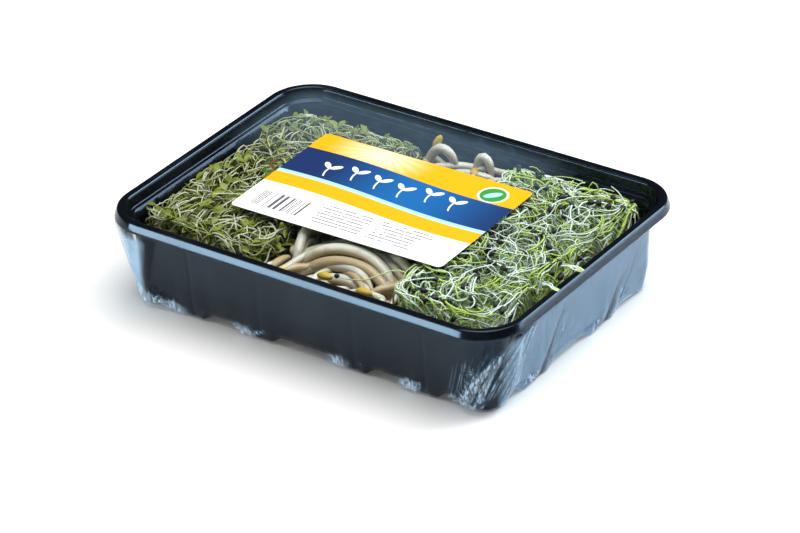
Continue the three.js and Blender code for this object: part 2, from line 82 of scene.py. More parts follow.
TRAY_LOW, TRAY_HIGH = box_mm("tray")
FILM_LOW, _ = box_mm("film")
LABEL_LOW, LABEL_HIGH = box_mm("label")
BEAD_TOP = float(TRAY_HIGH[2])
TRAY_LENGTH = float(TRAY_HIGH[0] - TRAY_LOW[0])
TRAY_WIDTH = float(TRAY_HIGH[1] - TRAY_LOW[1])
WALL_INSET = 11.2


class PerPoint(Enum):
    """What an attribute holds for each point."""

    NUMBER = "FLOAT"
    VECTOR = "FLOAT_VECTOR"


class Value:
    """A node's output socket, on which arithmetic adds Math nodes."""

    def __init__(self, graph: "Graph", socket: bpy.types.NodeSocket) -> None:
        """Keeps the socket with the graph that it is in."""
        self.graph = graph
        self.socket = socket

    def __add__(self, other: "Number") -> "Value":
        """Returns the sum."""
        return self.graph.math("ADD", self, other)

    def __sub__(self, other: "Number") -> "Value":
        """Returns the difference."""
        return self.graph.math("SUBTRACT", self, other)

    def __rsub__(self, other: "Number") -> "Value":
        """Returns the difference from a number."""
        return self.graph.math("SUBTRACT", other, self)

    def __mul__(self, other: "Number") -> "Value":
        """Returns the product."""
        return self.graph.math("MULTIPLY", self, other)

    def __truediv__(self, other: "Number") -> "Value":
        """Returns the quotient."""
        return self.graph.math("DIVIDE", self, other)

    def __rtruediv__(self, other: "Number") -> "Value":
        """Returns a number's quotient."""
        return self.graph.math("DIVIDE", other, self)

    __radd__ = __add__
    __rmul__ = __mul__


Number = Value | float


class Graph:
    """Adds nodes to one tree."""

    def __init__(self, tree: bpy.types.NodeTree) -> None:
        """Keeps the tree."""
        self.tree = tree

    def node(self, kind: str, settings: dict | None = None, inputs: dict | None = None) -> bpy.types.Node:
        """Adds a node.

        Args:
            kind: The node's type.
            settings: Its properties, which are set first.
            inputs: A value or a link for each socket, by its name or number.

        Returns:
            The new node.
        """
        node = self.tree.nodes.new(kind)
        for name, setting in (settings or {}).items():
            setattr(node, name, setting)
        for key, given in (inputs or {}).items():
            if isinstance(given, Value):
                self.tree.links.new(given.socket, node.inputs[key])
            else:
                node.inputs[key].default_value = given
        return node

    def value(
        self, kind: str, settings: dict | None = None, inputs: dict | None = None, output: int | str = 0
    ) -> Value:
        """Adds a node.

        Args:
            kind: The node's type.
            settings: Its properties.
            inputs: A value or a link for each socket.
            output: The output to return, by its name or number.

        Returns:
            The node's output.
        """
        return Value(self, self.node(kind, settings, inputs).outputs[output])

    def math(self, operation: str, *terms: Number) -> Value:
        """Returns the result of a Math node."""
        return self.value("ShaderNodeMath", {"operation": operation}, dict(enumerate(terms)))

    def mix(self, factor: Number, first: Value | Colour, second: Value | Colour) -> Value:
        """Mixes two colours.

        Args:
            factor: The second colour's share.
            first: The colour at 0.
            second: The colour at 1.

        Returns:
            The mixed colour.
        """
        colours = [c if isinstance(c, Value) else (*c, 1.0) for c in (first, second)]
        inputs = {0: factor, 6: colours[0], 7: colours[1]}
        return self.value("ShaderNodeMix", {"data_type": "RGBA"}, inputs, 2)

    def scaled(self, vector: Value, factor: Number) -> Value:
        """Returns a colour or a place times a number."""
        return self.value("ShaderNodeVectorMath", {"operation": "SCALE"}, {0: vector, "Scale": factor})

    def band(self, value: Value, low: float, high: float) -> Value:
        """Returns a smooth step from 0 at the low end to 1 at the high end."""
        settings = {"interpolation_type": "SMOOTHSTEP"}
        return self.value("ShaderNodeMapRange", settings, {0: value, 1: low, 2: high})

    def within(self, value: Value, low: float, high: float, soft: float = 0.12) -> Value:
        """Returns 1 between two ends and 0 outside them, with soft edges."""
        return self.band(value, low - soft, low + soft) * (1.0 - self.band(value, high - soft, high + soft))

    def place(self) -> Value:
        """Returns the object coordinates in millimetres."""
        return self.scaled(self.value("ShaderNodeTexCoord", output="Object"), 1 / MM)

    def noise(self, place: Value, size: float, detail: float = 2.0, distortion: float = 0.0) -> Value:
        """Adds a noise texture.

        Args:
            place: Coordinates in millimetres.
            size: The rough size of its spots in millimetres.
            detail: How many finer layers it has.
            distortion: How much it is warped.

        Returns:
            Its factor.
        """
        inputs = {"Vector": place, "Scale": 1.0 / size, "Detail": detail, "Distortion": distortion}
        return self.value("ShaderNodeTexNoise", None, inputs)

    def stretched(self, place: Value, scale: Point, turn: float = 0.0) -> Value:
        """Returns the place scaled and turned about Z, for a pattern that runs one way."""
        inputs = {"Vector": place, "Scale": scale, "Rotation": (0.0, 0.0, turn)}
        return self.value("ShaderNodeMapping", None, inputs)

    def attribute(self, name: str) -> Value:
        """Returns a named attribute of the mesh."""
        return self.value("ShaderNodeAttribute", {"attribute_name": name}, output="Fac")

    def bump(self, height: Value, depth: float) -> Value:
        """Returns a normal bent by a height from 0 to 1, where 1 stands for a depth in millimetres."""
        return self.value("ShaderNodeBump", None, {"Height": height, "Distance": depth * MM})


class SurfaceGraph(Graph):
    """The nodes of one material, round a Principled shader."""

    def __init__(self, name: str) -> None:
        """Makes the material and empties its tree.

        Args:
            name: The material's name.
        """
        self.material = bpy.data.materials.new(name)
        self.material.use_nodes = True
        super().__init__(self.material.node_tree)
        self.tree.nodes.clear()

    def finish(self, inputs: dict) -> Material:
        """Adds the shader and the output.

        Args:
            inputs: A value or a link for each of the shader's sockets that isn't left as it is.

        Returns:
            The finished material.
        """
        shader = self.value("ShaderNodeBsdfPrincipled", None, inputs)
        self.node("ShaderNodeOutputMaterial", None, {"Surface": shader})
        return self.material


@dataclass(frozen=True)
class TrayPlastic:
    """Black thermoformed plastic with faint flow marks, a little dust and a soft sheen."""

    colour: Colour = (0.0030, 0.0038, 0.0055)
    dust: Colour = (0.011, 0.013, 0.016)
    dust_share: float = 0.5
    roughness: float = 0.13
    dull_patches: float = 0.06
    gloss: float = 0.36
    tint: Colour = (0.42, 0.68, 1.0)
    flow_size: float = 18.0
    flow_stretch: Point = (1.0, 1.0, 0.25)
    flow_depth: float = 0.05

    def material(self) -> Material:
        """Builds the finish.

        Returns:
            Its material.
        """
        graph = SurfaceGraph("tray_plastic")
        flow = graph.noise(graph.stretched(graph.place(), self.flow_stretch), self.flow_size, 1.0)
        dusty = graph.band(flow, 0.45, 0.75) * self.dust_share
        inputs = {
            "Base Color": graph.mix(dusty, self.colour, self.dust),
            "Roughness": self.roughness + self.dull_patches * graph.band(flow, 0.35, 0.8),
            "Normal": graph.bump(flow, self.flow_depth),
            "Specular IOR Level": self.gloss,
            "Specular Tint": (*self.tint, 1.0),
        }
        return graph.finish(inputs)


@dataclass(frozen=True)
class ClearFilm:
    """Stretched clear film: a thin mirror, with a bluish haze that is partly its own and partly painted
    light.

    The mesh's attributes say where it is creased, where it shines, and how strong the haze and the painted
    light are.
    On the end walls the haze is film folded in layers and a painted reflection; at the left corner it is
    painted light of the pale surroundings seen through the film; over the back of the top it is a painted
    reflection; on creased crests it is whitened film and a painted highlight; beside the folds and in their
    valleys it is thinned, which paints shade.
    """

    mirror: Colour = (0.56, 0.80, 1.0)
    haze: Colour = (0.36, 0.61, 0.90)
    crease_white_and_highlight: Colour = (0.47, 0.63, 0.80)
    reflection: float = 0.85
    crease_haze_and_highlight: float = 0.6
    index: float = 1.45
    crinkle_size: float = 1.0
    ripple_size: float = 24.0
    smear_size: float = 9.0
    bump_depth: float = 0.25
    roughness: float = 0.05
    crease_roughness: float = 0.08

    def material(self) -> Material:
        """Builds the finish.

        Returns:
            Its material.
        """
        graph = SurfaceGraph("clear_film")
        place = graph.place()
        crease = graph.attribute("crease")
        fine = graph.noise(graph.stretched(place, (1.0, 1.0, 0.15)), self.crinkle_size, 3.0, 0.4)
        ripple = graph.noise(place, self.ripple_size, 1.0)
        normal = graph.bump(ripple + 0.12 * fine * crease, self.bump_depth)
        smears = graph.noise(graph.stretched(place, (1.0, 2.2, 1.0), 0.5), self.smear_size, 4.0, 0.8)
        # The haze attribute is partly the film's own haze and partly painted light: painted reflection,
        # painted light of the surroundings seen through, and painted shade beside folds.
        haze_and_painted_light = graph.attribute("haze_and_painted_light") * (0.88 + 0.24 * graph.band(smears, 0.4, 0.75))
        # Creased crests whiten: the film's own whitening and a painted highlight.
        haze_and_painted_light = haze_and_painted_light + crease * self.crease_haze_and_highlight * (0.3 + graph.band(fine, 0.4, 0.7))
        sheen = graph.value("ShaderNodeFresnel", None, {"IOR": self.index, "Normal": normal})
        mirror = sheen * self.reflection * graph.attribute("shine")
        share = graph.math("MINIMUM", haze_and_painted_light / (mirror + haze_and_painted_light), 1.0)
        inputs = {
            "Base Color": graph.mix(share, self.mirror, graph.mix(crease, self.haze, self.crease_white_and_highlight)),
            "Metallic": 1.0 - share,
            "Roughness": self.roughness + self.crease_roughness * crease,
            "Alpha": graph.math("MINIMUM", mirror + haze_and_painted_light - mirror * haze_and_painted_light, 1.0),
            "Normal": normal,
        }
        return graph.finish(inputs)


@dataclass(frozen=True)
class StemSkin:
    """A sprout's pale skin, from its root to its tip, in two tones of strand.

    Soft spots have the stain's colour, by its share. The sides and the underside, where the normal points
    down, turn towards under by its share, which is painted shade. The glow is the weight of the light that
    comes through, and its depth is in millimetres.
    """

    name: str
    root: Colour
    body: Colour
    other: Colour
    tip: Colour
    other_share: float
    roughness: float
    glow: float
    glow_depth: float
    stain: Colour
    stain_share: float
    # under and its share: painted shade of the sides and the underside.
    under: Colour
    underside_shade_share: float
    spot_size: float = 3.2
    stripe_size: float = 0.6
    stripe_depth: float = 0.12

    def material(self) -> Material:
        """Builds the finish.

        Returns:
            Its material.
        """
        graph = SurfaceGraph(self.name)
        place = graph.place()
        along = graph.attribute("along")
        facing = graph.value("ShaderNodeTexCoord", output="Normal")
        level = graph.value("ShaderNodeSeparateXYZ", None, {"Vector": facing}, "Z")
        spots = graph.noise(place, self.spot_size, 3.0)
        stripes = graph.noise(place, self.stripe_size, 2.0)
        first = 1.0 - self.other_share
        tone = graph.mix(graph.band(graph.attribute("tint"), first, first + 0.06), self.body, self.other)
        tone = graph.mix(graph.band(along, 0.75, 1.0), tone, self.tip)
        tone = graph.mix(graph.band(along, 0.3, 0.0), tone, self.root)
        tone = graph.mix(graph.band(spots, 0.52, 0.72) * self.stain_share, tone, self.stain)
        # Darker where the normal points down: painted shade of the sides and the underside.
        tone = graph.mix((1.0 - graph.band(level, -0.1, 0.85)) * self.underside_shade_share, tone, self.under)
        inputs = {
            "Base Color": graph.scaled(tone, 0.86 + 0.28 * stripes),
            "Roughness": self.roughness + 0.12 * spots,
            "Normal": graph.bump(stripes, self.stripe_depth),
            "Subsurface Weight": self.glow,
            "Subsurface Radius": (1.0, 0.85, 0.55),
            "Subsurface Scale": self.glow_depth * MM,
        }
        return graph.finish(inputs)


@dataclass(frozen=True)
class LeafSkin:
    """A seed leaf, green with a yellower rim, in tones from leaf to leaf."""

    young: Colour = (0.21, 0.25, 0.022)
    ripe: Colour = (0.065, 0.10, 0.010)
    husk: Colour = (0.17, 0.095, 0.025)
    husk_share: float = 0.06
    mottle_size: float = 1.4
    mottle_depth: float = 0.1
    glow: float = 0.15
    glow_depth: float = 0.6

    def material(self) -> Material:
        """Builds the finish.

        Returns:
            Its material.
        """
        graph = SurfaceGraph("seed_leaf")
        tint = graph.attribute("tint")
        mottle = graph.noise(graph.place(), self.mottle_size, 3.0)
        tone = graph.mix(graph.band(tint, 0.05, 0.85), self.ripe, self.young)
        yellower = 0.45 * graph.band(graph.attribute("rim"), 0.55, 1.0) + 0.3 * graph.band(mottle, 0.5, 0.75)
        tone = graph.mix(yellower, tone, self.young)
        first = 1.0 - self.husk_share
        tone = graph.mix(graph.band(tint, first, first + 0.01), tone, self.husk)
        inputs = {
            "Base Color": tone,
            "Roughness": 0.34 + 0.2 * mottle,
            "Normal": graph.bump(mottle, self.mottle_depth),
            "Subsurface Weight": self.glow,
            "Subsurface Radius": (0.6, 1.0, 0.2),
            "Subsurface Scale": self.glow_depth * MM,
        }
        return graph.finish(inputs)


@dataclass(frozen=True)
class SeedCoat:
    """A dry, finely wrinkled seed coat."""

    name: str
    colour: Colour
    worn: Colour
    roughness: float
    wrinkle_size: float = 0.35
    wrinkle_depth: float = 0.14
    patch_size: float = 1.6

    def material(self) -> Material:
        """Builds the finish.

        Returns:
            Its material.
        """
        graph = SurfaceGraph(self.name)
        place = graph.place()
        wrinkles = graph.noise(place, self.wrinkle_size, 3.0, 0.6)
        patches = graph.noise(place, self.patch_size, 2.0)
        inputs = {
            "Base Color": graph.mix(graph.band(patches, 0.45, 0.75) * 0.7, self.colour, self.worn),
            "Roughness": self.roughness + 0.2 * patches,
            "Normal": graph.bump(wrinkles, self.wrinkle_depth),
        }
        return graph.finish(inputs)


@dataclass(frozen=True)
class RootMat:
    """The tangled floor of a bed: fine pale fibres over a darker ground, whose darkness is painted shade of
    the depth among the strands.
    """

    name: str
    ground: Colour
    fibre: Colour
    leaf: Colour
    patch_size: float = 5.0
    fibre_depth: float = 1.2
    fibre_stretch: Point = (0.22, 1.0, 1.0)
    turns_and_sizes: tuple[Pair, ...] = ((0.4, 1.1), (1.5, 0.9), (2.5, 1.3))

    def material(self) -> Material:
        """Builds the finish.

        Returns:
            Its material.
        """
        graph = SurfaceGraph(self.name)
        place = graph.place()
        layers = [
            graph.noise(graph.stretched(place, self.fibre_stretch, turn), size, 2.0, 1.2)
            for turn, size in self.turns_and_sizes
        ]
        fibres = graph.math("MAXIMUM", graph.math("MAXIMUM", layers[0], layers[1]), layers[2])
        patches = graph.noise(place, self.patch_size, 3.0)
        # The ground's darkness is painted shade of the depth among the strands; the fibres and leaf patches
        # are the mat's own colour.
        tone = graph.mix(graph.band(patches, 0.42, 0.62), self.ground, self.leaf)
        tone = graph.mix(graph.band(fibres, 0.62, 0.74), tone, self.fibre)
        normal = graph.bump(fibres, self.fibre_depth)
        return graph.finish({"Base Color": tone, "Roughness": 0.55, "Normal": normal})


def link(item: Item) -> Item:
    """Puts an object in the scene and returns it."""
    bpy.context.scene.collection.objects.link(item)
    return item


def mesh_from(name: str, points: Array, edges: Sequence, faces: Sequence) -> Mesh:
    """Makes a mesh.

    Args:
        name: The mesh's name.
        points: Its points in millimetres.
        edges: Its loose edges.
        faces: Its faces.

    Returns:
        The mesh, in metres.
    """
    mesh = bpy.data.meshes.new(name)
    mesh.from_pydata((np.asarray(points, dtype=float) * MM).tolist(), list(edges), list(faces))
    mesh.update()
    return mesh


def set_attribute(mesh: Mesh, name: str, values: Sequence | Array, kind: PerPoint = PerPoint.NUMBER) -> None:
    """Stores a value for each point.

    Args:
        mesh: The mesh.
        name: The attribute's name.
        values: One number or vector for each point.
        kind: Which of the two it is.
    """
    attribute = mesh.attributes.new(name, kind.value, "POINT")
    key = "value" if kind is PerPoint.NUMBER else "vector"
    attribute.data.foreach_set(key, np.asarray(values, dtype=np.float32).ravel())


def shown(name: str, mesh: Mesh, material: Material, slot: str, is_round: bool = True) -> Item:
    """Shows a mesh as a piece of the pack.

    Args:
        name: The piece's name.
        mesh: Its mesh.
        material: Its material.
        slot: The record's material slot; not used.
        is_round: Whether its faces are shaded as one round surface.

    Returns:
        The piece's object.
    """
    if not mesh.materials:
        mesh.materials.append(material)
    if is_round:
        mesh.shade_smooth()
    item = link(bpy.data.objects.new(name, mesh))
    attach(item, BODY)
    LOG.info("%s: %d faces", name, len(mesh.polygons))
    return item


@dataclass(frozen=True)
class Stations:
    """Places round a rounded rectangle, anticlockwise from the start of its +X side.

    Attributes:
        turn: The quarter that each is in.
        is_arc: Whether it is on the quarter's corner.
        share: How far along its side, from -1 to 1, or round its corner, from 0 to 1.
        along: The distance round the lip in millimetres.
    """

    turn: Array
    is_arc: Array
    share: Array
    along: Array


@dataclass(frozen=True)
class RoundedOutline:
    """The lip's outline seen from above, in millimetres, with its stations crowded towards the corners."""

    length: float = TRAY_LENGTH
    width: float = TRAY_WIDTH
    radius: float = 20.0
    least_radius: float = 3.0
    crowding: float = 0.35

    def half(self, turn: int) -> float:
        """Returns half of the straight stretch of a quarter's side."""
        return (self.width if turn % 2 == 0 else self.length) / 2 - self.radius

    def perimeter(self) -> float:
        """Returns the distance round the lip."""
        return 4 * (self.half(0) + self.half(1)) + 2 * math.pi * self.radius

    def stations(self, step: float, arc_steps: int) -> Stations:
        """Spreads stations round the outline.

        Args:
            step: The distance between stations on the straight stretches.
            arc_steps: How many steps each corner has.

        Returns:
            The stations.
        """
        turns, arcs, shares, distances = [], [], [], []
        start = 0.0
        arc_length = self.radius * math.pi / 2
        for turn in range(4):
            half = self.half(turn)
            count = round(2 * half / step)
            even = np.linspace(-1.0, 1.0, count, endpoint=False)
            side = even * (1.0 + self.crowding - self.crowding * even**2)
            arc = np.linspace(0.0, 1.0, arc_steps, endpoint=False)
            turns.append(np.full(count + arc_steps, turn))
            arcs.append(np.repeat([False, True], [count, arc_steps]))
            shares.append(np.concatenate([side, arc]))
            distances.append(start + np.concatenate([(side + 1) * half, 2 * half + arc * arc_length]))
            start += 2 * half + arc_length
        return Stations(*(np.concatenate(parts) for parts in (turns, arcs, shares, distances)))

    def at(self, stations: Stations, inset: Array) -> tuple[Array, Array]:
        """Places the stations on the outline that lies inside the lip's own.

        Args:
            stations: The stations.
            inset: How far inside, for each station or for each row of them.

        Returns:
            Their X and Y.
        """
        radius = np.maximum(self.radius - inset, self.least_radius)
        corner_x = self.length / 2 - inset - radius
        corner_y = self.width / 2 - inset - radius
        turn = stations.turn * math.pi / 2
        angle = turn + stations.share * math.pi / 2
        sign_x = np.where((stations.turn == 0) | (stations.turn == 3), 1.0, -1.0)
        sign_y = np.where(stations.turn < 2, 1.0, -1.0)
        even = stations.turn % 2 == 0
        across = radius + np.where(even, corner_x, corner_y)
        along = stations.share * np.where(even, corner_y, corner_x)
        side_x = across * np.cos(turn) - along * np.sin(turn)
        side_y = across * np.sin(turn) + along * np.cos(turn)
        x = np.where(stations.is_arc, sign_x * corner_x + radius * np.cos(angle), side_x)
        y = np.where(stations.is_arc, sign_y * corner_y + radius * np.sin(angle), side_y)
        return x, y

    @staticmethod
    def facing(stations: Stations) -> Array:
        """Returns how much the wall faces along X at each station, from 0 on the long sides to 1."""
        return np.abs(np.cos((stations.turn + stations.share * stations.is_arc) * math.pi / 2))

    def room(self, x: Array, y: Array, inset: float) -> Array:
        """Finds how far places lie inside the outline at an inset.

        Args:
            x: The places' X.
            y: The places' Y.
            inset: How far inside the lip's own outline that one lies.

        Returns:
            The distances, less than 0 outside it.
        """
        radius = max(self.radius - inset, self.least_radius)
        out_x = np.abs(x) - (self.length / 2 - inset - radius)
        out_y = np.abs(y) - (self.width / 2 - inset - radius)
        outside = np.hypot(np.maximum(out_x, 0.0), np.maximum(out_y, 0.0))
        inside = np.minimum(np.maximum(out_x, out_y), 0.0)
        return radius - outside - inside


def rounded(corners: Sequence[Sequence[float]], radius: float, steps: int, longest: float) -> Array:
    """Rounds off a section's corners and divides its long stretches.

    Args:
        corners: The section's points, whose first two numbers are its plane's.
        radius: How much is cut back from each corner at most.
        steps: How many points each round has.
        longest: The longest distance left between points.

    Returns:
        The finer section, one row a point.
    """
    points = np.array(corners, dtype=float)
    made = [points[0]]
    for before, corner, after in zip(points, points[1:], points[2:]):
        back, ahead = before - corner, after - corner
        near = min(radius / max(np.hypot(*back[:2]), 1e-6), 0.45)
        far = min(radius / max(np.hypot(*ahead[:2]), 1e-6), 0.45)
        start, end = corner + back * near, corner + ahead * far
        for t in np.linspace(0.0, 1.0, steps):
            made.append((1 - t) ** 2 * start + 2 * t * (1 - t) * corner + t**2 * end)
    made.append(points[-1])
    finer = [made[0]]
    for before, after in zip(made, made[1:]):
        pieces = max(1, math.ceil(np.hypot(*(after - before)[:2]) / longest))
        finer.extend(before + (after - before) * k / pieces for k in range(1, pieces + 1))
    return np.array(finer)


def resampled(points: Sequence[Sequence[float]], count: int) -> Array:
    """Spreads points evenly along a line.

    Args:
        points: The line's points.
        count: How many points the result has.

    Returns:
        The points, one row each.
    """
    given = np.array(points, dtype=float)
    reach = np.concatenate([[0.0], np.cumsum(np.linalg.norm(np.diff(given, axis=0), axis=1))])
    places = np.linspace(0.0, reach[-1], count)
    return np.column_stack([np.interp(places, reach, given[:, axis]) for axis in range(given.shape[1])])


def skin(name: str, rings: Array, caps: Sequence[Point | None]) -> Mesh:
    """Joins rings of points to a skin.

    Args:
        name: The mesh's name.
        rings: The points, as rings by stations by 3.
        caps: The middle points that close the first and the last ring, or None for an open one.

    Returns:
        The mesh, with its faces pointing out.
    """
    count = rings.shape[1]
    around = np.arange(count)
    ahead = np.roll(around, -1)
    faces = []
    for ring in range(rings.shape[0] - 1):
        a, b = ring * count, (ring + 1) * count
        faces.extend(np.stack([a + around, b + around, b + ahead, a + ahead], axis=1).tolist())
    points = [rings.reshape(-1, 3)]
    middle = rings.shape[0] * count
    if caps[0] is not None:
        faces.extend([middle, i, j] for i, j in zip(around, ahead))
        points.append(np.array([caps[0]]))
        middle += 1
    if caps[1] is not None:
        last = (rings.shape[0] - 1) * count
        faces.extend([middle, last + j, last + i] for i, j in zip(around, ahead))
        points.append(np.array([caps[1]]))
    return mesh_from(name, np.concatenate(points), [], faces)


def grid_faces(rows: int, columns: int) -> tuple[Array, Array]:
    """Finds the faces of a sheet of points.

    Args:
        rows: How many rows of points it has.
        columns: How many points each row has.

    Returns:
        The faces, and the same faces turned over.
    """
    index = np.arange(rows * columns).reshape(rows, columns)
    a, b = index[:-1, :-1].ravel(), index[1:, :-1].ravel()
    c, d = index[1:, 1:].ravel(), index[:-1, 1:].ravel()
    return np.stack([a, b, c, d], 1), np.stack([a, d, c, b], 1)


@dataclass(frozen=True)
class Feet:
    """The feet pressed into the tray's base, by their places along each side."""

    long_side: tuple[float, ...] = (-54.5, -22.0, 22.0, 54.5)
    short_side: tuple[float, ...] = (-23.3, 23.3)
    root: float = 9.0
    flat: float = 3.5
    height: float = 2.9
    corner_reach: float = 8.0
    rib_depth: float = 0.4
    rib_top: float = -14.0
    rib_foot: float = -34.0
    rib_end: float = -39.0
    groove_depth: float = 0.35
    groove_width: float = 0.9

    def nearest(self, outline: RoundedOutline, stations: Stations) -> Array:
        """Finds how far each station is from the nearest foot of its side.

        Args:
            outline: The lip's outline.
            stations: The stations.

        Returns:
            The distances.
        """
        gaps = []
        for turn, feet in ((0, self.short_side), (1, self.long_side)):
            place = stations.share * outline.half(turn)
            gaps.append(np.min([np.abs(place - foot) for foot in feet], axis=0))
        return np.where(stations.turn % 2 == 0, gaps[0], gaps[1])

    def groove(self, outline: RoundedOutline, stations: Stations) -> Array:
        """Returns the depth of the upright line that is pressed into the wall over each foot."""
        line = np.maximum(1.0 - self.nearest(outline, stations) / self.groove_width, 0.0)
        return np.where(stations.is_arc, 0.0, self.groove_depth * line)

    def share(self, outline: RoundedOutline, stations: Stations) -> Array:
        """Finds how far a foot stands down at each station.

        Args:
            outline: The lip's outline.
            stations: The stations.

        Returns:
            A number from 0 between the feet to 1 on a foot and round the corners.
        """
        half = np.where(stations.turn % 2 == 0, outline.half(0), outline.half(1))
        nearest = self.nearest(outline, stations)
        side = 1.0 - smooth((nearest - self.flat) / (self.root - self.flat))
        arc_place = np.minimum(stations.share, 1 - stations.share) * outline.radius * math.pi / 2
        into = np.where(stations.is_arc, arc_place, np.abs(stations.share * half) - half)
        corner = smooth((into + self.corner_reach) / (2 * self.corner_reach))
        return np.maximum(np.where(stations.is_arc, 0.0, side), corner)

    def bulge(self, foot: Array, height: Array) -> Array:
        """Returns how far the wall bulges over a foot at heights from the bead's top."""
        fade = smooth((self.rib_top - height) / (self.rib_top - self.rib_foot))
        return self.rib_depth * foot * fade * (height > self.rib_end)


@dataclass
class Tray:
    """The black tray: one sheet with a raised bead, an inner ledge, tapered walls and feet.

    The section runs from the floor over the bead to the lip, and back under it and down the outside to the
    base. Each point has its inset from the lip, its height from the bead's top and its share in a foot.
    """

    outline: RoundedOutline = RoundedOutline()
    feet: Feet = Feet()
    finish: TrayPlastic = TrayPlastic()
    sheet: float = 0.8
    base_depth: float = 37.5
    step: float = 0.8
    arc_steps: int = 26
    section: tuple[Point, ...] = (
        (16.6, -36.7, 0), (13.6, -36.7, 1), (12.3, -36.7, 1), (10.8, -34.4, 0),
        (8.2, -7.8, 0), (6.6, -5.2, 0), (5.3, -5.0, 0), (4.5, -0.8, 0),
        (3.8, 0.0, 0), (1.9, 0.0, 0), (1.25, -0.25, 0), (0.95, -0.9, 0),
        (0.0, -3.5, 0), (0.1, -4.0, 0), (0.9, -4.0, 0), (1.8, -0.9, 0),
        (3.4, -0.9, 0), (4.4, -5.8, 0), (6.4, -6.4, 0), (7.4, -8.3, 0),
        (9.1, -30.0, 0), (9.9, -34.8, 0), (11.2, -37.5, 1), (14.4, -37.5, 1),
        (17.0, -37.5, 0),
    )

    def rows(self) -> Array:
        """Returns the finer section."""
        return rounded(self.section, 0.9, 4, 4.0)

    def build(self) -> Item:
        """Makes the tray.

        Returns:
            Its piece.
        """
        stations = self.outline.stations(self.step, self.arc_steps)
        foot = self.feet.share(self.outline, stations)
        inset, height, share = self.rows().T[:, :, None]
        on_wall = (inset > 7.0) & (inset < 11.6)
        groove = self.feet.groove(self.outline, stations) * on_wall * smooth((-8.0 - height) / 3.0)
        ribbed = inset - self.feet.bulge(foot, height) * on_wall + groove
        x, y = self.outline.at(stations, ribbed)
        z = BEAD_TOP + height - share * foot * self.feet.height + 0.0 * x
        caps = ((0.0, 0.0, BEAD_TOP + self.sheet - self.base_depth), (0.0, 0.0, BEAD_TOP - self.base_depth))
        mesh = skin("black_tray", np.stack([x, y, z], axis=2), caps)
        piece = shown("black_tray", mesh, self.finish.material(), "tray_plastic")
        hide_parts("tray")
        return piece

    def surface(self, x: Array, y: Array) -> Array:
        """Finds the height of the tray's inside, from the floor to the bead.

        Args:
            x: The places' X.
            y: The places' Y.

        Returns:
            The heights there.
        """
        insets = [row[0] for row in reversed(self.section[:10])]
        heights = [row[1] for row in reversed(self.section[:10])]
        distance = self.outline.room(x, y, 0.0)
        return BEAD_TOP + np.interp(distance, insets, heights)


@dataclass(frozen=True)
class Fold:
    """One crease in the film, from one place to another, each a distance round the lip and a height."""

    start: Pair
    end: Pair
    width: float
    depth: float

    @classmethod
    def drawn(cls, random: np.random.Generator, start: Pair, end: Pair, width: Pair, depth: Pair) -> "Fold":
        """Returns a crease whose width and then depth are drawn between two limits each."""
        return cls(start, end, random.uniform(*width), random.uniform(*depth))

    def reach(self) -> float:
        """Returns how far round the lip from its middle it can be seen."""
        return abs(self.end[0] - self.start[0]) / 2 + 5.0 * self.width

    def over(self, ahead: Array, height: Array) -> tuple[Array, Array]:
        """Finds how places lie over the crease.

        Args:
            ahead: Distances round the lip from its start.
            height: Heights from the bead's top.

        Returns:
            How far they lie aside in the crease's widths, and how strong it is there, from 0 to 1.
        """
        run = self.end[0] - self.start[0]
        rise = self.end[1] - self.start[1]
        length = math.hypot(run, rise)
        up = height - self.start[1]
        t = (ahead * run + up * rise) / length**2
        aside = (ahead * rise - up * run) / length / self.width
        return aside, smooth(t / 0.22) * smooth((1.0 - t) / 0.3)


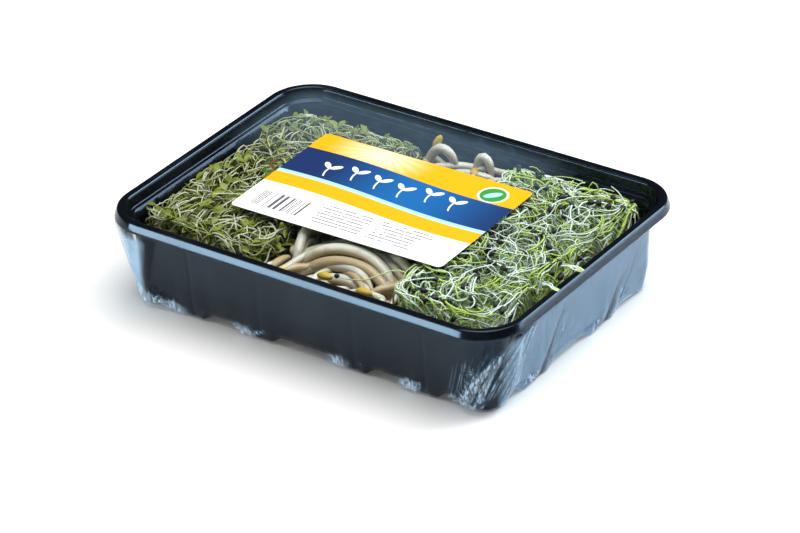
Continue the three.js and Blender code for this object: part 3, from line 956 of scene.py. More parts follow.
@dataclass
class Film:
    """The stretched film, from its top over the lip and down to its window under the base.

    It clings to the walls under the lip, but spans straight from the lip to the base round three corners.
    """

    outline: RoundedOutline = RoundedOutline()
    feet: Feet = Feet()
    pulled: Feet = Feet(
        long_side=(-59.5, -27.0, 17.0, 49.5),
        short_side=(-28.3, 18.3),
        root=13.0,
        flat=6.0,
        corner_reach=12.0,
    )
    finish: ClearFilm = ClearFilm()
    step: float = 0.65
    arc_steps: int = 112
    side_rows: int = 48
    seed: int = 41
    pleats: tuple[Point, ...] = (
        (0.55, -26.0, 26.0), (-0.4, -26.0, 26.0), (0.1, -26.0, 7.0), (0.55, -19.0, 22.0),
    )
    top: tuple[Pair, ...] = (
        (60.0, 0.45), (0.98, 0.45), (-0.42, -3.5), (-0.38, -4.4),
    )
    spanning: tuple[Pair, ...] = (
        (-0.38, -4.4), (0.3, -8.0), (2.1, -14.0), (7.7, -35.1),
        (9.2, -39.2), (10.4, -40.6),
    )
    clinging: tuple[Pair, ...] = (
        (-0.38, -4.4), (3.9, -6.0), (6.0, -6.7), (7.1, -8.8),
        (8.85, -30.0), (9.5, -35.0), (10.4, -40.6),
    )
    under: tuple[Pair, ...] = ((11.4, -40.85), (15.0, -40.8), (24.0, -40.4), (36.0, -40.2))
    lip_end: float = -3.6
    hem_level: float = -35.0
    corner_span: Pair = (12.0, 16.0)
    foot_level: float = -41.0
    pleat_pitch: float = 1.1
    far_pleats: float = 0.7
    greatest_fold: Pair = (-0.3, 1.4)
    # Haze strengths: the end walls' is film folded in layers and a painted reflection; the left corner's is
    # painted light of the pale surroundings seen through the film; the top's is a painted reflection.
    end_haze_and_reflection: float = 0.28
    left_painted_light: float = 0.48
    top_painted_reflection: float = 0.072
    top_shine: float = 0.6

    def corners(self) -> list[float]:
        """Finds the corners' middles.

        Returns:
            The distance round the lip to each.
        """
        middles = []
        start = 0.0
        for turn in range(4):
            start += 2 * self.outline.half(turn)
            middles.append(start + self.outline.radius * math.pi / 4)
            start += self.outline.radius * math.pi / 2
        return middles

    def sides(self) -> Iterator[tuple[float, Sequence[float], bool]]:
        """Goes round the four sides.

        Returns:
            Each side's middle as a distance round the lip, its feet, and whether it is a short one.
        """
        start = 0.0
        for turn in range(4):
            half = self.outline.half(turn)
            is_short = turn % 2 == 0
            yield start + half, self.feet.short_side if is_short else self.feet.long_side, is_short
            start += 2 * half + self.outline.radius * math.pi / 2

    def gap(self, along: Array, place: float) -> Array:
        """Returns the distance round the lip from a place, less than 0 before it."""
        perimeter = self.outline.perimeter()
        return (along - place + perimeter / 2) % perimeter - perimeter / 2

    def corner_folds(self) -> list[Fold]:
        """Draws the near-parallel pleats that lean round each corner.

        Returns:
            The pleats.
        """
        random = np.random.default_rng(self.seed)
        folds = []
        near_corner = self.corners()[3]
        for corner, (lean, first, last) in zip(self.corners(), self.pleats):
            strength = 1.0 if corner == near_corner else self.far_pleats
            for place in np.arange(first, last, self.pleat_pitch):
                low = random.uniform(-40.5, -35.0)
                high = -5.0 - 0.5 * max(0.0, -place - 6.0) - random.exponential(3.0)
                root = corner + place - 6.0 * np.sign(lean) + random.normal(0.0, 0.4)
                slant = lean + 0.008 * place + random.normal(0.0, 0.03)
                width = random.uniform(0.38, 0.6)
                stronger = 0.16 * float(smooth(np.array((place + 12.0) / 8.0)))
                depth = strength * (random.uniform(0.1, 0.34) + stronger)
                folds.append(Fold((root + slant * (high - low), high), (root, low), width, depth))
        return folds

    def foot_folds(self) -> list[Fold]:
        """Draws the slanting creases that run up from each foot, and a hollow on the short sides.

        Returns:
            The creases.
        """
        random = np.random.default_rng(self.seed + 1)
        folds = []
        for side, feet, is_short in self.sides():
            for foot in feet:
                middle = side + foot
                for k in range(3 if is_short else 0):
                    end = (middle + 1.0 + 4.0 * k, -34.0 + 7.0 * k)
                    folds.append(Fold((middle - 2.0, -43.0), end, 3.6 - 0.7 * k, -0.4))
                for _ in range(9 if is_short else 3):
                    root = middle + random.normal(1.0, 3.0)
                    rise = random.uniform(14.0, 34.0) if is_short else random.uniform(4.0, 9.0)
                    end = (root + rise * random.uniform(0.45, 0.65), self.foot_level + rise)
                    width = random.uniform(0.45, 1.0)
                    depth = random.uniform(0.12, 0.4) * random.choice([1.0, -1.0])
                    folds.append(Fold((root, self.foot_level), end, width, depth))
        return folds

    def patches(self) -> list[Point]:
        """Finds the crinkled patches of the hem.

        Returns:
            Each one's middle, half width and strength.
        """
        corners = self.corners()
        found = [(corners[2] + 15.0, 9.0, 0.9), (corners[3] - 16.0, 8.0, 0.8)]
        for side, feet, _ in self.sides():
            found.extend((side + foot - 8.5, 4.5, 0.6) for foot in feet)
        return found

    def hem_folds(self) -> list[Fold]:
        """Draws the short crinkles of the hem's patches.

        Returns:
            The crinkles.
        """
        random = np.random.default_rng(self.seed + 2)
        folds = []
        for middle, half, strength in self.patches():
            for _ in range(round(3.2 * half)):
                place = middle + random.normal(0.0, 0.55) * half
                start = (place, random.uniform(self.foot_level, -38.5))
                end = (place + random.normal(1.0, 3.5), random.uniform(-38.0, -33.5))
                folds.append(Fold(start, end, random.uniform(0.4, 0.9), strength * random.uniform(0.4, 1.2)))
        return folds

    def bunched_folds(self) -> list[Fold]:
        """Draws the crumpled bunches on the near corner and on the left one.

        Each bunch narrows to its top: rays run down from there, and short crinkles lie between them.

        Returns:
            Their folds.
        """
        random = np.random.default_rng(self.seed + 3)
        corners = self.corners()
        bunches = (
            ((corners[3] + 6.0, -7.0), (corners[3] - 13.0, -38.0), 7.5, 26, 80),
            ((corners[2] + 6.0, -29.0), (corners[2] + 17.0, -40.5), 9.0, 10, 40),
        )
        folds = []
        for apex, base, spread, rays, crinkles in bunches:
            run, rise = base[0] - apex[0], base[1] - apex[1]
            for _ in range(rays):
                aside = random.uniform(-1.0, 1.0) * spread
                share = random.uniform(0.0, 0.35)
                start = (apex[0] + (base[0] + aside - apex[0]) * share, apex[1] + rise * share)
                end = (base[0] + aside, base[1])
                folds.append(Fold.drawn(random, start, end, (0.4, 0.9), (0.15, 0.55)))
            for _ in range(crinkles):
                share = random.uniform(0.25, 1.0) ** 0.6
                x = apex[0] + run * share + random.uniform(-1.0, 1.0) * spread * share
                y = apex[1] + rise * share
                turn = random.uniform(0.0, math.pi)
                reach = random.uniform(1.5, 5.0)
                end = (x + reach * math.cos(turn), y + reach * math.sin(turn))
                folds.append(Fold.drawn(random, (x, y), end, (0.4, 0.8), (0.15, 0.5)))
        return folds

    def sections(self, stations: Stations) -> tuple[Array, Array]:
        """Finds the film's section at every station.

        Args:
            stations: The stations.

        Returns:
            The inset and the height, as rows by stations.
        """
        corners = self.corners()
        away = np.min([np.abs(self.gap(stations.along, corner)) for corner in corners[1:]], axis=0)
        cling = smooth((away - self.corner_span[0]) / self.corner_span[1])
        top = rounded(self.top, 1.2, 8, 4.0)[:, :, None]
        spanning = resampled(self.spanning, self.side_rows)[1:, :, None]
        clinging = resampled(self.clinging, self.side_rows)[1:, :, None]
        under = np.array(self.under)[:, :, None]
        side = spanning + (clinging - spanning) * cling
        whole = [part + np.zeros(len(stations.along)) for part in (top, side, under)]
        both = np.concatenate(whole)
        inset, height = both[:, 0], both[:, 1]
        held = np.maximum(self.pulled.share(self.outline, stations), self.feet.share(self.outline, stations))
        lift = self.feet.height * (1.0 - held)
        return inset, height + lift * smooth((-33.0 - height) / 6.5)

    def creased(self, along: Array, height: Array) -> tuple[Array, Array]:
        """Lays all the folds over the film.

        Args:
            along: The stations' distances round the lip.
            height: The heights, as rows by stations.

        Returns:
            How far the film stands out, and the painted shade in the folds' valleys and beside their crests.
        """
        out = np.zeros(height.shape)
        fold_shade = np.zeros(height.shape)
        for fold in self.corner_folds() + self.foot_folds() + self.hem_folds() + self.bunched_folds():
            middle = (fold.start[0] + fold.end[0]) / 2
            near = np.flatnonzero(np.abs(self.gap(along, middle)) < fold.reach())
            ahead = self.gap(along[near], fold.start[0])[None, :]
            aside, strength = fold.over(ahead, height[:, near])
            crest = fold.depth * np.maximum(1.0 - np.abs(aside), 0.0) ** 1.5 * strength
            # Beside each crest and along each valley the haze is thinned: painted shade.
            beside = np.maximum(1.0 - np.abs(aside - 1.4), 0.0) * strength
            out[:, near] += crest
            fold_shade[:, near] += np.maximum(-crest, 0.0) + abs(fold.depth) * beside * (fold.depth > 0.0)
        fade = smooth((self.lip_end - height) / 3.0)
        return out * fade, fold_shade * fade

    def build(self) -> Item:
        """Makes the film.

        Returns:
            Its piece.
        """
        stations = self.outline.stations(self.step, self.arc_steps)
        foot = self.feet.share(self.outline, stations)
        inset, height = self.sections(stations)
        out, fold_shade = self.creased(stations.along, height)
        out *= smooth((20.0 - inset) / 8.0)
        creased = np.clip(out, *self.greatest_fold)
        x, y = self.outline.at(stations, inset - self.feet.bulge(foot, height) - creased)
        z = np.maximum(BEAD_TOP + height, float(FILM_LOW[2]) + 0.1)
        points = np.stack([x, y, z], axis=2)
        mesh = skin("clear_film", points, ((0.0, 0.0, BEAD_TOP + self.top[0][1]), None))
        for name, values in self.looks(stations, points, inset, height, (out, fold_shade)).items():
            set_attribute(mesh, name, np.append(values.ravel(), 0.0))
        piece = shown("clear_film", mesh, self.finish.material(), "clear_film")
        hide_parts("film")
        return piece

    def looks(
        self, stations: Stations, points: Array, inset: Array, height: Array, folds: Sequence
    ) -> dict[str, Array]:
        """Finds where the film can be seen. It is wholly clear where it clings to the tray.

        Args:
            stations: The stations.
            points: The film's points.
            inset: How far inside the lip's outline they are.
            height: Their heights from the bead's top.
            folds: How far the folds stand out there, and the painted shade in their valleys and beside them.

        Returns:
            How white the creases are (whitened film and a painted highlight), how strong the haze and the
            painted light are, and how much the film shines, from 0 to 1.
        """
        x, y = points[..., 0], points[..., 1]
        out, fold_shade = folds
        on_side = height < self.lip_end
        below = smooth((-height - 4.0) / 4.0)
        hem = smooth((self.hem_level - height) / 3.0) * sum(
            strength * np.exp(-((self.gap(stations.along, middle) / half) ** 2))
            for middle, half, strength in self.patches()
        )
        crease = np.clip(np.maximum(out, 0.0) / 0.45, 0.0, 1.0) ** 1.5
        # The hem's crinkled patches whiten: crinkled film, and painted light of the pale surroundings seen
        # through it.
        crease = np.clip(crease + 0.6 * hem, 0.0, 1.0) * on_side
        # End walls: haze of film folded in layers, and a painted reflection.
        ends = smooth((self.outline.facing(stations) - 0.82) / 0.16) * below
        # Left corner: painted light of the pale surroundings seen through the film.
        past_left = self.gap(stations.along, self.corners()[2])
        left_end = 10.4 + 0.26 * np.clip(height + 35.0, 0.0, 27.0)
        left = smooth((left_end - past_left) / 4.0 + 0.5) * smooth((past_left + 40.0) / 14.0) * below
        # Back of the top: a painted reflection.
        painted_glare = smooth((y + 10.0) / 50.0) * smooth((62.0 - x) / 50.0) * smooth((inset - 8.0) / 4.0)
        # Beside the folds and in their valleys the haze is thinned: painted shade.
        drawn = np.clip(1.6 * fold_shade, 0.0, 0.9)
        haze_and_painted_light = np.maximum(self.end_haze_and_reflection * ends * (1.0 - drawn), self.left_painted_light * left * (1.0 - 0.5 * drawn))
        haze_and_painted_light = haze_and_painted_light + self.top_painted_reflection * painted_glare * (height > 0.0)
        line = np.array(self.clinging)
        free = smooth((np.abs(inset - np.interp(-height, -line[:, 1], line[:, 0])) - 0.1) / 0.4)
        shine = np.where(on_side, free * ends, self.top_shine * smooth((inset - 8.0) / 3.0))
        crease[crease < 0.03] = 0.0
        haze_and_painted_light[haze_and_painted_light < 0.01] = 0.0
        return {"crease": crease, "haze_and_painted_light": haze_and_painted_light, "shine": shine}


@dataclass(frozen=True)
class Ground:
    """A bed's place in the tray, between two lines across it, each with its X at the front and the back."""

    left: Pair
    right: Pair
    inset: float = 8.6
    unevenness: float = 1.1

    def edge(self, line: Pair, y: Array) -> Array:
        """Returns a line's X at Y."""
        return line[0] + (line[1] - line[0]) * (y / TRAY_WIDTH + 0.5)

    def room(self, x: Array, y: Array) -> Array:
        """Finds how far places lie inside the bed, whose edge is uneven.

        Args:
            x: The places' X.
            y: The places' Y.

        Returns:
            The distances, less than 0 outside it.
        """
        walls = RoundedOutline().room(x, y, self.inset)
        sides = np.minimum(x - self.edge(self.left, y), self.edge(self.right, y) - x)
        waves = np.sin(0.31 * x + 0.17 * y) + np.sin(0.23 * y - 0.12 * x)
        waves = waves + 0.5 * np.sin(0.8 * x) * np.sin(0.7 * y)
        return np.minimum(walls, sides) - self.unevenness * waves / 2.5


@dataclass(frozen=True)
class Mat:
    """The uneven root mat that a bed lies on, from wall to wall and down to the tray's floor."""

    name: str
    ground: Ground
    level: float
    finish: RootMat
    slot: str
    seed: int
    roughness: float = 1.6
    slope: float = 8.0
    slope_depth: float = 6.0
    floor_level: float = 36.2
    taper: float = 3.4
    rows: int = 84
    columns: int = 44
    waves: tuple[float, ...] = (21.0, 12.0, 6.5, 3.6)

    def height(self, x: Array, y: Array) -> Array:
        """Finds the mat's height.

        Args:
            x: The places' X.
            y: The places' Y.

        Returns:
            The heights there.
        """
        random = np.random.default_rng(self.seed)
        total = np.zeros(np.broadcast(x, y).shape)
        for size in self.waves:
            for _ in range(3):
                angle = random.uniform(0.0, 2 * math.pi)
                phase = random.uniform(0.0, 2 * math.pi)
                ahead = x * math.cos(angle) + y * math.sin(angle)
                total = total + size / self.waves[0] * np.sin(ahead * 2 * math.pi / size + phase)
        edge = smooth(RoundedOutline().room(x, y, WALL_INSET) / self.slope)
        return BEAD_TOP - self.level - self.slope_depth * (1.0 - edge) + self.roughness * total / 3.0

    def build(self) -> Item:
        """Makes the mat.

        Returns:
            Its piece.
        """
        outline = RoundedOutline()
        radius = outline.radius - WALL_INSET
        half_length = outline.length / 2 - WALL_INSET
        half_width = outline.width / 2 - WALL_INSET
        y = np.linspace(-1.0, 1.0, self.rows)[:, None] * half_width
        into = np.clip(np.abs(y) - (half_width - radius), 0.0, radius)
        reach = half_length - radius + np.sqrt(np.maximum(radius**2 - into**2, 0.0))
        left = np.maximum(self.ground.edge(self.ground.left, y), -reach)
        right = np.minimum(self.ground.edge(self.ground.right, y), reach)
        x = left + (right - left) * np.linspace(0.0, 1.0, self.columns)[None, :]
        y = y + 0.0 * x
        top = np.stack([x, y, self.height(x, y)], axis=2)
        shrink = 1.0 - self.taper / half_length
        under = np.stack([x * shrink, y * shrink, np.full_like(x, BEAD_TOP - self.floor_level)], axis=2)
        upward, downward = grid_faces(self.rows, self.columns)
        index = np.arange(x.size).reshape(x.shape)
        rim = np.concatenate([index[0, :-1], index[:-1, -1], index[-1, :0:-1], index[:0:-1, 0]])
        after = np.roll(rim, -1)
        wall = np.stack([rim, rim + x.size, after + x.size, after], 1)
        points = np.concatenate([top.reshape(-1, 3), under.reshape(-1, 3)])
        faces = np.concatenate([downward, upward + x.size, wall])
        mesh = mesh_from(self.name, points, [], faces.tolist())
        return shown(self.name, mesh, self.finish.material(), self.slot)


class Pile:
    """The height of everything that lies in the tray so far, on a fine grid, in millimetres."""

    cell: float = 0.5
    mat_overlap: float = 1.2

    def __init__(self, tray: Tray, mats: Sequence[Mat]) -> None:
        """Starts with what lies under the beds.

        Args:
            tray: The tray.
            mats: The root mats in it.
        """
        columns = math.ceil(TRAY_LENGTH / self.cell)
        rows = math.ceil(TRAY_WIDTH / self.cell)
        self.origin = np.array([-TRAY_LENGTH / 2, -TRAY_WIDTH / 2])
        x = (self.origin[0] + (np.arange(columns) + 0.5) * self.cell)[:, None]
        y = (self.origin[1] + (np.arange(rows) + 0.5) * self.cell)[None, :]
        self.heights = tray.surface(x, y)
        for mat in mats:
            inside = mat.ground.room(x, y) > -self.mat_overlap
            self.heights = np.where(inside, np.maximum(self.heights, mat.height(x, y)), self.heights)

    def cells(self, places: Array) -> tuple[Array, Array]:
        """Finds the cells that places fall in.

        Args:
            places: The places, each with its X and Y.

        Returns:
            Their columns and rows.
        """
        found = ((places - self.origin) / self.cell).astype(int)
        columns = np.clip(found[..., 0], 0, self.heights.shape[0] - 1)
        rows = np.clip(found[..., 1], 0, self.heights.shape[1] - 1)
        return columns, rows

    def lanes(self, places: Array, girth: Array) -> tuple[Array, Array]:
        """Spreads each point of a path over the strand's width.

        Args:
            places: The path's X and Y.
            girth: The radius at each point.

        Returns:
            The places, as points by lanes by 2, and how high the round strand reaches over its middle there.
        """
        count = max(1, math.ceil(float(girth.max()) / self.cell))
        offsets = np.linspace(-1.0, 1.0, 2 * count + 1) * 0.96
        along = np.gradient(places, axis=0)
        along /= np.maximum(np.linalg.norm(along, axis=1, keepdims=True), 1e-6)
        across = np.stack([-along[:, 1], along[:, 0]], axis=1)
        aside = girth[:, None] * offsets[None, :]
        spread = places[:, None, :] + across[:, None, :] * aside[:, :, None]
        reach = np.sqrt(np.maximum(girth[:, None] ** 2 - aside**2, 0.0))
        return spread, reach

    def least(self, places: Array, girth: Array) -> Array:
        """Returns the least height at which a strand's middle clears the pile, at each of its points."""
        spread, reach = self.lanes(places, girth)
        return (self.heights[self.cells(spread)] + reach).max(axis=1)

    def add(self, path: Array, girth: Array) -> None:
        """Lays a strand on the pile."""
        spread, reach = self.lanes(path[:, :2], girth)
        np.maximum.at(self.heights, self.cells(spread), path[:, 2][:, None] + reach)


@dataclass
class Strand:
    """One stem or thread: the points of its middle line, its radius at each and its tone."""

    path: Array
    girth: Array
    tint: float


def merged_paths(name: str, strands: Sequence[Strand]) -> Mesh:
    """Makes one mesh of all the strands' middle lines.

    Args:
        name: The mesh's name.
        strands: The strands.

    Returns:
        A mesh of edges, with the radius, the tone and the place along the strand at each point.
    """
    points = np.concatenate([strand.path for strand in strands])
    girth = np.concatenate([strand.girth for strand in strands])
    tint = np.concatenate([np.full(len(strand.path), strand.tint) for strand in strands])
    along = np.concatenate([np.linspace(0.0, 1.0, len(strand.path)) for strand in strands])
    edges = []
    start = 0
    for strand in strands:
        count = len(strand.path)
        edges.extend((start + i, start + i + 1) for i in range(count - 1))
        start += count
    mesh = mesh_from(name, points, edges, [])
    set_attribute(mesh, "girth", girth * MM)
    set_attribute(mesh, "tint", tint)
    set_attribute(mesh, "along", along)
    return mesh


class GrowthTree(Graph):
    """A Geometry Nodes tree with named inputs."""

    def __init__(self, name: str, inputs: dict[str, str]) -> None:
        """Makes the tree.

        Args:
            name: The tree's name.
            inputs: The type of each input beside the geometry, by name.
        """
        super().__init__(bpy.data.node_groups.new(name, "GeometryNodeTree"))
        self.tree.interface.new_socket("Geometry", in_out="INPUT", socket_type="NodeSocketGeometry")
        for label, kind in inputs.items():
            self.tree.interface.new_socket(label, in_out="INPUT", socket_type=kind)
        self.tree.interface.new_socket("Geometry", in_out="OUTPUT", socket_type="NodeSocketGeometry")
        self.source = self.node("NodeGroupInput")

    def given(self, name: str) -> Value:
        """Returns one of the tree's inputs."""
        return Value(self, self.source.outputs[name])

    def stored(self, name: str, kind: PerPoint = PerPoint.NUMBER) -> Value:
        """Returns a named attribute."""
        return self.value("GeometryNodeInputNamedAttribute", {"data_type": kind.value}, {"Name": name})

    def end(self, geometry: Value) -> None:
        """Ends the tree: copies are made real, and the material is set.

        Args:
            geometry: What the tree has made.
        """
        real = self.value("GeometryNodeRealizeInstances", None, {"Geometry": geometry})
        smooth_faces = self.value("GeometryNodeSetShadeSmooth", None, {"Geometry": real})
        inputs = {"Geometry": smooth_faces, "Material": self.given("Material")}
        dressed = self.value("GeometryNodeSetMaterial", None, inputs)
        self.node("NodeGroupOutput", None, {"Geometry": dressed})

    def grow(self, name: str, mesh: Mesh, values: dict) -> Mesh:
        """Runs the tree.

        Args:
            name: The result's name.
            mesh: The mesh that goes in.
            values: A value for each input, by name.

        Returns:
            The plain mesh that comes out.
        """
        carrier = link(bpy.data.objects.new(name + "_paths", mesh))
        modifier = carrier.modifiers.new("growth", "NODES")
        modifier.node_group = self.tree
        for item in self.tree.interface.items_tree:
            if item.item_type == "SOCKET" and item.in_out == "INPUT" and item.name in values:
                modifier[item.identifier] = values[item.name]
        depsgraph = bpy.context.evaluated_depsgraph_get()
        grown = bpy.data.meshes.new_from_object(
            carrier.evaluated_get(depsgraph), preserve_all_data_layers=True, depsgraph=depsgraph
        )
        carrier.modifiers.clear()
        bpy.data.objects.remove(carrier)
        grown.name = name
        return grown


class StrandTree(GrowthTree):
    """Skins middle lines with round strands."""

    def __init__(self) -> None:
        """Builds the tree."""
        super().__init__(
            "strands",
            {"Step": "NodeSocketFloat", "Sides": "NodeSocketInt", "Material": "NodeSocketMaterial"},
        )
        curve = self.value("GeometryNodeMeshToCurve", None, {"Mesh": self.given("Geometry")})
        inputs = {"Curve": curve, "Length": self.given("Step")}
        even = self.value("GeometryNodeResampleCurve", {"mode": "LENGTH"}, inputs)
        inputs = {"Resolution": self.given("Sides"), "Radius": 1.0}
        circle = self.value("GeometryNodeCurvePrimitiveCircle", None, inputs)
        inputs = {"Curve": even, "Profile Curve": circle, "Scale": self.stored("girth"), "Fill Caps": True}
        self.end(self.value("GeometryNodeCurveToMesh", None, inputs))


class CopyTree(GrowthTree):
    """Puts a turned and scaled copy of a small mesh on each point."""

    def __init__(self) -> None:
        """Builds the tree."""
        super().__init__("copies", {"Shape": "NodeSocketObject", "Material": "NodeSocketMaterial"})
        shape = self.value("GeometryNodeObjectInfo", None, {"Object": self.given("Shape")}, "Geometry")
        angles = self.stored("turn", PerPoint.VECTOR)
        turn = self.value("FunctionNodeEulerToRotation", None, {"Euler": angles})
        inputs = {
            "Points": self.given("Geometry"),
            "Instance": shape,
            "Rotation": turn,
            "Scale": self.stored("stretch", PerPoint.VECTOR),
        }
        self.end(self.value("GeometryNodeInstanceOnPoints", None, inputs))


@dataclass
class Copy:
    """One copy of a small shape: its place, its length's and its face's directions, its size and its tone."""

    place: Array
    along: Array
    up: Array
    stretch: Point
    tint: float

    def turn(self) -> Point:
        """Finds the turn that lays the shape's X along and its Z up.

        Returns:
            The turn as Euler angles.
        """
        along = Vector(self.along).normalized()
        side = Vector(self.up).cross(along).normalized()
        up = along.cross(side)
        return tuple(Matrix((along, side, up)).transposed().to_euler())


def scattered(name: str, shape: Mesh, copies: Sequence[Copy], material: Material, slot: str) -> Item:
    """Makes one piece of many copies of a small shape.

    Args:
        name: The piece's name.
        shape: The small mesh.
        copies: The copies.
        material: Their material.
        slot: The record's material slot.

    Returns:
        The piece.
    """
    points = mesh_from(name + "_points", np.array([copy.place for copy in copies]), [], [])
    set_attribute(points, "turn", [copy.turn() for copy in copies], PerPoint.VECTOR)
    set_attribute(points, "stretch", [copy.stretch for copy in copies], PerPoint.VECTOR)
    set_attribute(points, "tint", [copy.tint for copy in copies])
    original = link(bpy.data.objects.new(name + "_shape", shape))
    made = CopyTree().grow(name, points, {"Shape": original, "Material": material})
    bpy.data.objects.remove(original)
    return shown(name, made, material, slot)


def leaf_shape(length: float, width: float, thickness: float, cup: float, droop: float) -> Mesh:
    """Makes a closed oval leaf with a raised rim and a groove along its middle, its heel at the origin.

    Args:
        length: Along X.
        width: Along Y.
        thickness: At its middle.
        cup: How much its rim is raised.
        droop: How much its tip hangs.

    Returns:
        The mesh, with how near its rim each point is.
    """
    along = np.linspace(0.0, 1.0, 6)
    across = np.array([-1.0, -0.5, 0.0, 0.5, 1.0])
    u, v = np.meshgrid(along, across, indexing="ij")
    half = width / 2 * np.sin(math.pi * np.clip(u, 0.015, 0.985) ** 0.85) ** 0.62
    x = length * u
    y = half * v
    middle = cup * v**2 * np.sin(math.pi * u) - droop * u**2 + 0.1 * np.abs(v)
    taper = np.sin(math.pi * np.clip(u, 0.02, 0.98)) ** 0.4
    shell = thickness / 2 * np.sqrt(np.maximum(1.0 - v**2, 0.0)) * taper
    top = np.stack([x, y, middle + shell], axis=2).reshape(-1, 3)
    under = np.stack([x, y, middle - shell], axis=2).reshape(-1, 3)
    upward, downward = grid_faces(*u.shape)
    faces = np.concatenate([upward, downward + u.size])
    mesh = mesh_from("seed_leaf", np.concatenate([top, under]), [], faces.tolist())
    rim = np.maximum(np.abs(v), np.abs(2 * u - 1)).ravel()
    set_attribute(mesh, "rim", np.concatenate([rim, rim]))
    welded(mesh, 0.02)
    return mesh


def welded(mesh: Mesh, distance: float) -> None:
    """Joins a mesh's points that lie close together, and turns its faces out.

    Args:
        mesh: The mesh.
        distance: How close, in millimetres.
    """
    made = bmesh.new()
    made.from_mesh(mesh)
    bmesh.ops.remove_doubles(made, verts=made.verts, dist=distance * MM)
    bmesh.ops.recalc_face_normals(made, faces=made.faces)
    made.to_mesh(mesh)
    made.free()


def seed_shape(length: float, width: float, sides: int, rows: int, dent: float, seed: int) -> Mesh:
    """Makes a dented egg-shaped seed along X, round the origin.

    Args:
        length: Along X.
        width: Across.
        sides: How many sides it has.
        rows: How many rows it has from end to end.
        dent: How uneven it is, as a share of its width.
        seed: The seed of its dents.

    Returns:
        The mesh.
    """
    random = np.random.default_rng(seed)
    angle = np.linspace(0.0, 2 * math.pi, sides, endpoint=False)
    tilt = np.linspace(0.0, math.pi, rows + 1)[1:-1]
    girth = width / 2 * np.sin(tilt)[:, None] * (1 + random.uniform(-dent, dent, (rows - 1, sides)))
    x = length / 2 * np.cos(tilt)[:, None] + 0.0 * girth
    rings = np.stack([x, girth * np.cos(angle), girth * np.sin(angle)], axis=2)
    mesh = skin("seed", rings, ((length / 2, 0.0, 0.0), (-length / 2, 0.0, 0.0)))
    welded(mesh, 0.001)
    return mesh


def curved(points: Sequence[Point], step: float) -> Array:
    """Runs a smooth line through points.

    Args:
        points: The points.
        step: The distance between the line's own points.

    Returns:
        The line's points, one row each.
    """
    given = np.array(points, dtype=float)
    ends = np.vstack([2 * given[0] - given[1], given, 2 * given[-1] - given[-2]])
    line = []
    for a, b, c, d in zip(ends, ends[1:], ends[2:], ends[3:]):
        bend, twist = 2 * a - 5 * b + 4 * c - d, 3 * b - a - 3 * c + d
        for t in np.linspace(0.0, 1.0, 12, endpoint=False):
            line.append(0.5 * (2 * b + (c - a) * t + bend * t**2 + twist * t**3))
    line.append(given[-1])
    length = np.linalg.norm(np.diff(line, axis=0), axis=1).sum()
    return resampled(line, max(4, round(length / step)))


def unit(direction: Array) -> Array:
    """Returns a direction with a length of 1."""
    return direction / np.linalg.norm(direction)


